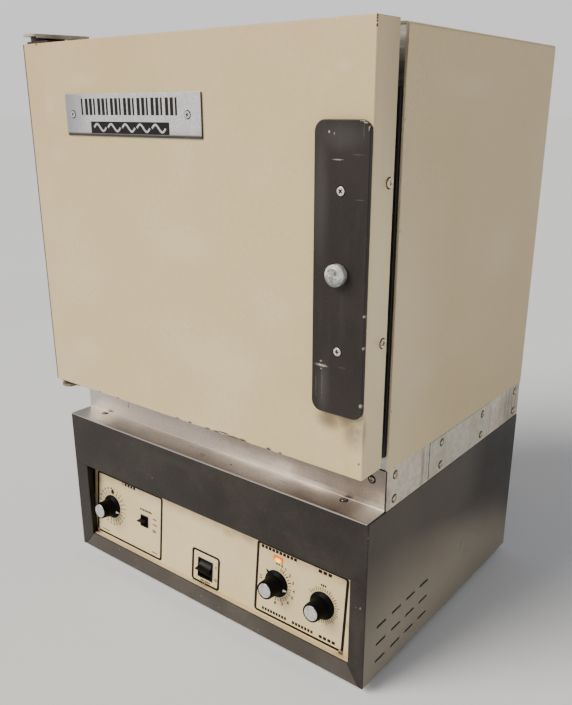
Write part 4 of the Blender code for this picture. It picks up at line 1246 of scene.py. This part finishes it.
def tick(centre, angle, inner, outer, width):
    """A radial mark; angles are clockwise degrees from twelve o'clock."""
    mark = extruded([(-width / 2, inner), (width / 2, inner), (width / 2, outer),
                     (-width / 2, outer)], 0, INK)
    mark.transform(Matrix.Translation((*centre, 0)) @ Matrix.Rotation(-radians(angle), 4, "Z"))
    return mark


def numeral(text, centre, angle, radius, size):
    turn = radians(angle)
    return letters(text, size, (centre[0] + radius * sin(turn), centre[1] + radius * cos(turn)))


def field_outline(x, z):
    outer = rounded(x, z, FIELD_CORNER)
    upright = FIELD_LINE + 0.7
    inner = rounded((x[0] + upright, x[1] - upright), (z[0] + FIELD_LINE, z[1] - FIELD_LINE),
                    FIELD_CORNER - FIELD_LINE)
    return frame_flat(outer, inner, 0, INK)


def bar(x, z):
    return extruded([(x[0], z[0]), (x[1], z[0]), (x[1], z[1]), (x[0], z[1])], 0, INK)


def blocks(x, z, count, filled=0.74):
    """A row of small blocks, where such a panel has a word."""
    pitch = (x[1] - x[0]) / (count - 1 + filled)
    return [bar((x[0] + n * pitch, x[0] + (n + filled) * pitch), z) for n in range(count)]


def ring(centre, outer, inner):
    return frame_flat(arc(centre, outer, 0, 345, 23), arc(centre, inner, 0, 345, 23), 0, INK)


def dial_centre(joint):
    """X and height up the panel of a dial."""
    foot = pin(joint) - PANEL_FOOT
    return foot.x, foot.dot(UP_PANEL) + PANEL_FOOT.z


def timer_marks():
    centre = dial_centre("timer_turn")
    marks = []
    for n in range(24):
        angle = 15 * n + 8
        marks.append(tick(centre, angle, 17.4, 22.4, 1.0))
        marks.append(numeral(str(n + 1), centre, angle, 25.0, 3.4))
    index = [(-2.6, 20.4), (0, 16.4), (2.6, 20.4), (1.4, 24.0), (-1.4, 24.0)]
    marks.append(extruded([(centre[0] + a, centre[1] + b) for a, b in index], 0, 3 * INK))
    return marks


def temperature_marks():
    centre = dial_centre("temperature_turn")
    marks = []
    scale = (15, 28, 47, 68, 91, 111, 134, 157, 181)
    for number, angle in enumerate(scale):
        marks.append(tick(centre, angle, 17.2, 21.4, 1.05))
        marks.append(numeral(str(number), centre, angle, 24.4, 4.8))
    for first, second in zip(scale, scale[1:]):
        marks.append(tick(centre, (first + second) / 2, 17.2, 20.6, 0.8))
    marks += blocks((centre[0] - 2.2, centre[0] + 3.4), (centre[1] + 23.0, centre[1] + 25.2), 3)
    for rise in (-1.6, 1.6):
        marks.append(bar((centre[0] - 24.6, centre[0] - 20.6),
                         (centre[1] + rise - 0.55, centre[1] + rise + 0.55)))
    return marks


def guard_marks():
    centre = dial_centre("overtemp_turn")
    marks = []
    for n in range(30):
        outer = 21.8 if n % 3 == 0 else 20.2
        marks.append(tick(centre, -56 + 9 * n, 16.8, outer, 0.8))
    marks += blocks((centre[0] - 3.6, centre[0] + 3.2), (centre[1] + 22.0, centre[1] + 24.4), 3)
    return marks


def heading_marks():
    """Pictograms and rows of blocks where such a panel has its headings."""
    marks = [ring((-155.0, 107.7), 2.0, 1.3)]
    for left, right, low, high, count, filled in (
        (-151.4, -131.0, 105.8, 109.2, 4, 0.74), (-121.0, -99.5, 82.7, 85.5, 8, 0.72),
        (81.5, 131.0, 105.6, 109.2, 10, 0.74), (160.0, 177.4, 105.2, 108.8, 3, 0.74),
        (86.7, 121.6, 29.8, 33.3, 9, 0.74), (130.0, 158.4, 29.7, 33.2, 7, 0.74),
        (166.6, 187.8, 29.5, 33.0, 4, 0.74), (-196.0, -180.0, 30.2, 31.7, 9, 0.66),
        (-97.5, -87.8, 30.9, 32.6, 5, 0.66),
    ):
        marks += blocks((left, right), (low, high), count, filled)
    for height, length in ((77.4, 6.4), (70.0, 7.4), (62.4, 5.0), (60.2, 6.0)):
        marks += blocks((-96.8, -96.8 + length), (height - 0.9, height + 0.9), 4)
    marks += [bar((13.2, 14.5), (50.4, 54.2)), ring((13.9, 35.8), 1.9, 0.8)]
    return marks + blocks((-10.6, 4.6), (26.4, 28.7), 6, 0.72)


def panel_print():
    marks = [field_outline(*field) for field in (TIMER_FIELD, TEMPERATURE_FIELD, POWER_FIELD)]
    marks += timer_marks() + temperature_marks() + guard_marks() + heading_marks()
    ink = moulded("panel_ink", (20, 12, 9), (34, 24, 20), 0.6, Specular_IOR_Level=0.15)
    whole = merged(marks)
    whole.transform(Matrix.Translation((0, -PANEL_FOOT.z, 0)))
    piece("panel_print", leaned(whole, PANEL_FOOT), ink, OVEN, "cream_panel")


def knob(node, joint, wedge_angle, tab_angle, cap_radius):
    """A skirted knob with fine flutes, a spun cap set in its rim, and a wedge on its skirt."""
    pivot = pin(joint)
    tall = KNOB_HEIGHT
    body = frame["nodes"][node]["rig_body"]
    black = moulded(f"{node}_black", (10, 10, 12), (20, 20, 23), 0.42, 0.004, 900,
                    Specular_IOR_Level=0.05)
    profile = [
        (3.0, -11.0), (3.0, 0.0), (15.3, 0.0), (15.75, 0.4), (15.75, 1.1), (15.2, 1.9), (13.2, 3.0),
        (11.9, 3.6), (11.45, 4.3), (11.3, 5.2), (10.75, 11.0), (10.25, tall - 1.2),
        (10.0, tall - 0.35), (9.6, tall - 0.1), (cap_radius + 0.25, tall - 0.1),
        (cap_radius + 0.1, tall - 0.9), (0, tall - 0.9),
    ]

    def flutes(angle, height):
        return 0.11 * cos(56 * angle) if 4.8 < height < tall - 1.0 else 0.0

    local = dict(centre=tuple(pivot), lean=LEAN)
    piece(f"{node}_grip", placed(lathe(profile, 168, flutes), "front"), black, body, "knob_black",
          [node], crease=40, **local)
    cap = lathe([(cap_radius, tall - 0.85), (cap_radius, tall - 0.3), (cap_radius - 0.3, tall),
                 (cap_radius - 0.8, tall - 0.02), (3.0, tall - 0.10), (0, tall - 0.10)], 96)
    metal = spun(f"{node}_aluminium", (226, 224, 222), (160, 156, 152), 0.2)
    piece(f"{node}_cap", placed(cap, "front"), metal, body, "aluminium", crease=28, **local)
    white = moulded(f"{node}_white", (246, 244, 240), (222, 218, 212), 0.35)
    pointer = extruded([(-1.5, 12.0), (1.5, 12.0), (0.5, 15.9), (-0.5, 15.9)], 0, 1.3, 0.2, 2)
    tilt = Matrix.Translation((0, 12.0, 3.0)) @ Matrix.Rotation(radians(-24), 4, "X")
    pointer.transform(Matrix.Rotation(-radians(wedge_angle), 4, "Z") @ tilt
                      @ Matrix.Translation((0, -12.0, 0)))
    piece(f"{node}_pointer", placed(pointer, "front"), white, body, "knob_black", **local)
    if tab_angle is not None:
        tab = extruded([(-1.3, 14.5), (1.3, 14.5), (1.1, 17.0), (0, 19.6), (-1.1, 17.0)], 0.05, 0.9,
                       0.15, 2)
        tab.transform(Matrix.Rotation(-radians(tab_angle), 4, "Z"))
        piece(f"{node}_tab", placed(tab, "front"), black, body, "knob_black", **local)


def controls():
    look = Look("panel_enamel", Specular_IOR_Level=0.35)
    drift = look.noise(9, 4, 0.6)
    look.colour = look.mix(look.ramp(drift, 0.35, 0.68), (226, 207, 164), (218, 197, 152))
    look.tint(look.ramp(look.noise(160, 4, 0.7), 0.35, 0.75, 0.0, 0.3), (208, 188, 150))
    top = on_panel(0, 112.0).z
    # Smears and painted shade along the top of the panel, under the header.
    grime_and_shade = look.ramp(look.noise(60, 4, 0.6), 0.3, 0.7, 0.2, 0.8)
    look.tint(look.times(look.along(Z, top - 16, top - 1), grime_and_shade), (190, 164, 124))
    edge = look.smudge([(tuple(on_panel(a, b)), (14, 8, 8)) for a, b in (
        (-204, 24), (-4, 23), (196, 24), (205, 60), (-205, 100), (30, 104), (60, 108))])
    look.tint(look.times(edge, 0.5), (170, 140, 106))
    look.relief((look.noise(700, 2), 0.003))
    cream = look.done(look.ramp(drift, 0.3, 0.7, 0.4, 0.5))
    dress("control_panel", cream, 0.2, 1)
    lip = block((RAIL[0][0] + 18.2, RAIL[0][1] - 14.0), (2.7, RAIL[1][1] + 0.2),
                (RAIL[2][1] + 0.05, RAIL[2][1] + 0.55), 0.15, 2)
    piece("panel_lip", lip, cream, OVEN, "cream_panel")
    panel_print()
    rusty = plated("panel_screw_steel", (186, 160, 136), (96, 68, 52), 0.3)
    screws = merged([leaned(pan_head(*PANEL_SCREW), on_panel(px, pz), turn)
                     for (px, pz), turn in zip(PANEL_SCREWS, (20, 60, 40))])
    piece("panel_screws", screws, rusty, OVEN, "sheet_steel")
    knob("timer_knob", "timer_turn", 106, None, 8.8)
    knob("temperature_knob", "temperature_turn", 100, -50, 8.3)
    knob("overtemp_knob", "overtemp_turn", 225, None, 8.4)
    gloss = moulded("switch_gloss", (14, 13, 14), (24, 22, 23), 0.28, 0.003, 900,
                    Specular_IOR_Level=0.12)
    dress("power_switch_body function_switch_body power_lever function_lever", gloss, 0.25)
    phenolic = moulded("control_phenolic", (36, 31, 28), (58, 52, 46), 0.45)
    dress("timer_body terminal_block power_inlet", phenolic, 0.4)
    for node in ("thermostat_body", "overtemp_body"):
        dress(node, galvanised(f"{node}_zinc"), 0.6)
    lamp()


def lamp():
    """A lit lens: amber at its rim, yellow-white where the filament glows behind it."""
    x, y, z = span("pilot_lamp")
    look = Look("lamp_lens", Specular_IOR_Level=0.5, Emission_Strength=3.0)
    away = look.spot((sum(x) / 2 + 0.6, y[0], sum(z) / 2), (6.6, 8.0, 4.0))
    glow = look.mix(look.ramp(away, 0.25, 1.0), FILAMENT, AMBER)
    look.feed(look.shader.inputs["Emission Color"], glow)
    ripple = look.noise(900, 2, 0.5)
    look.relief((ripple, 0.02))
    look.colour = look.mix(ripple, (120, 44, 10), (96, 30, 6))
    lens = look.done(look.ramp(ripple, 0.3, 0.7, 0.22, 0.34))
    (left, right), (low, high) = LAMP
    wide, tall = (right - left) / 2, (high - low) / 2
    shape = leaned(block((-wide, wide), (-tall, tall), LAMP_DEPTH, 0.5),
                   on_panel((left + right) / 2, (low + high) / 2))
    piece("pilot_lens", shape, lens, OVEN, "pilot_orange", ["pilot_lamp"])


# ---------------------------------------------------------------- setting

def camera():
    made = linked("camera", bpy.data.cameras.new("camera"))
    made.location = CAMERA_PLACE
    heading, tilt, roll = (Matrix.Rotation(radians(angle), 3, axis)
                           for angle, axis in zip(CAMERA_TURN, "ZXZ"))
    made.rotation_euler = (heading @ tilt @ roll).to_euler()
    made.data.sensor_width, made.data.lens = 36.0, CAMERA_LENS
    made.data.shift_x, made.data.shift_y = CAMERA_SHIFT
    bpy.context.scene.camera = made


def key_light():
    """Warm even light from the front left, with shadows as soft as a wide studio panel's."""
    light = bpy.data.lights.new("key", "SUN")
    light.energy, light.angle, light.color = KEY, radians(35), (1.0, 0.95, 0.83)
    made = linked("key", light)
    made.rotation_euler = Vector((-0.42, -0.72, 0.62)).to_track_quat("Z", "Y").to_euler()


def studio_walls():
    """A pale surround that is brightest low down, where it meets the floor."""
    world = bpy.data.worlds.new("studio")
    bpy.context.scene.world = world
    world.use_nodes = True
    tree = world.node_tree
    background = tree.nodes["Background"]
    background.inputs["Color"].default_value = (1.0, 1.0, 1.0, 1.0)
    coordinates = tree.nodes.new("ShaderNodeTexCoord")
    split = tree.nodes.new("ShaderNodeSeparateXYZ")
    height = tree.nodes.new("ShaderNodeMapRange")
    height.interpolation_type = "SMOOTHSTEP"
    for socket, value in (("From Min", 0.12), ("From Max", 0.35), ("To Min", WALL_LOW),
                          ("To Max", WALL_HIGH)):
        height.inputs[socket].default_value = value
    tree.links.new(coordinates.outputs["Generated"], split.inputs[0])
    tree.links.new(split.outputs["Z"], height.inputs["Value"])
    tree.links.new(height.outputs["Result"], background.inputs["Strength"])


def setting():
    look = Look("floor_paper")
    drift = look.noise(1.5, 3)
    look.colour = look.mix(drift, (238, 241, 247), (241, 244, 250))
    paper = look.done(look.ramp(drift, 0.3, 0.7, 0.85, 0.95))
    shape = bmesh.new()
    bmesh.ops.create_grid(shape, x_segments=1, y_segments=1, size=60.0)
    floor = linked("floor", into_mesh("floor", shape))
    floor.data.materials.append(paper)
    studio_walls()
    key_light()


door()
handle()
nameplate()
hinges()
cabinet()
gasket()
chamber()
exhaust()
band()
ledge()
base()
controls()
camera()
setting()
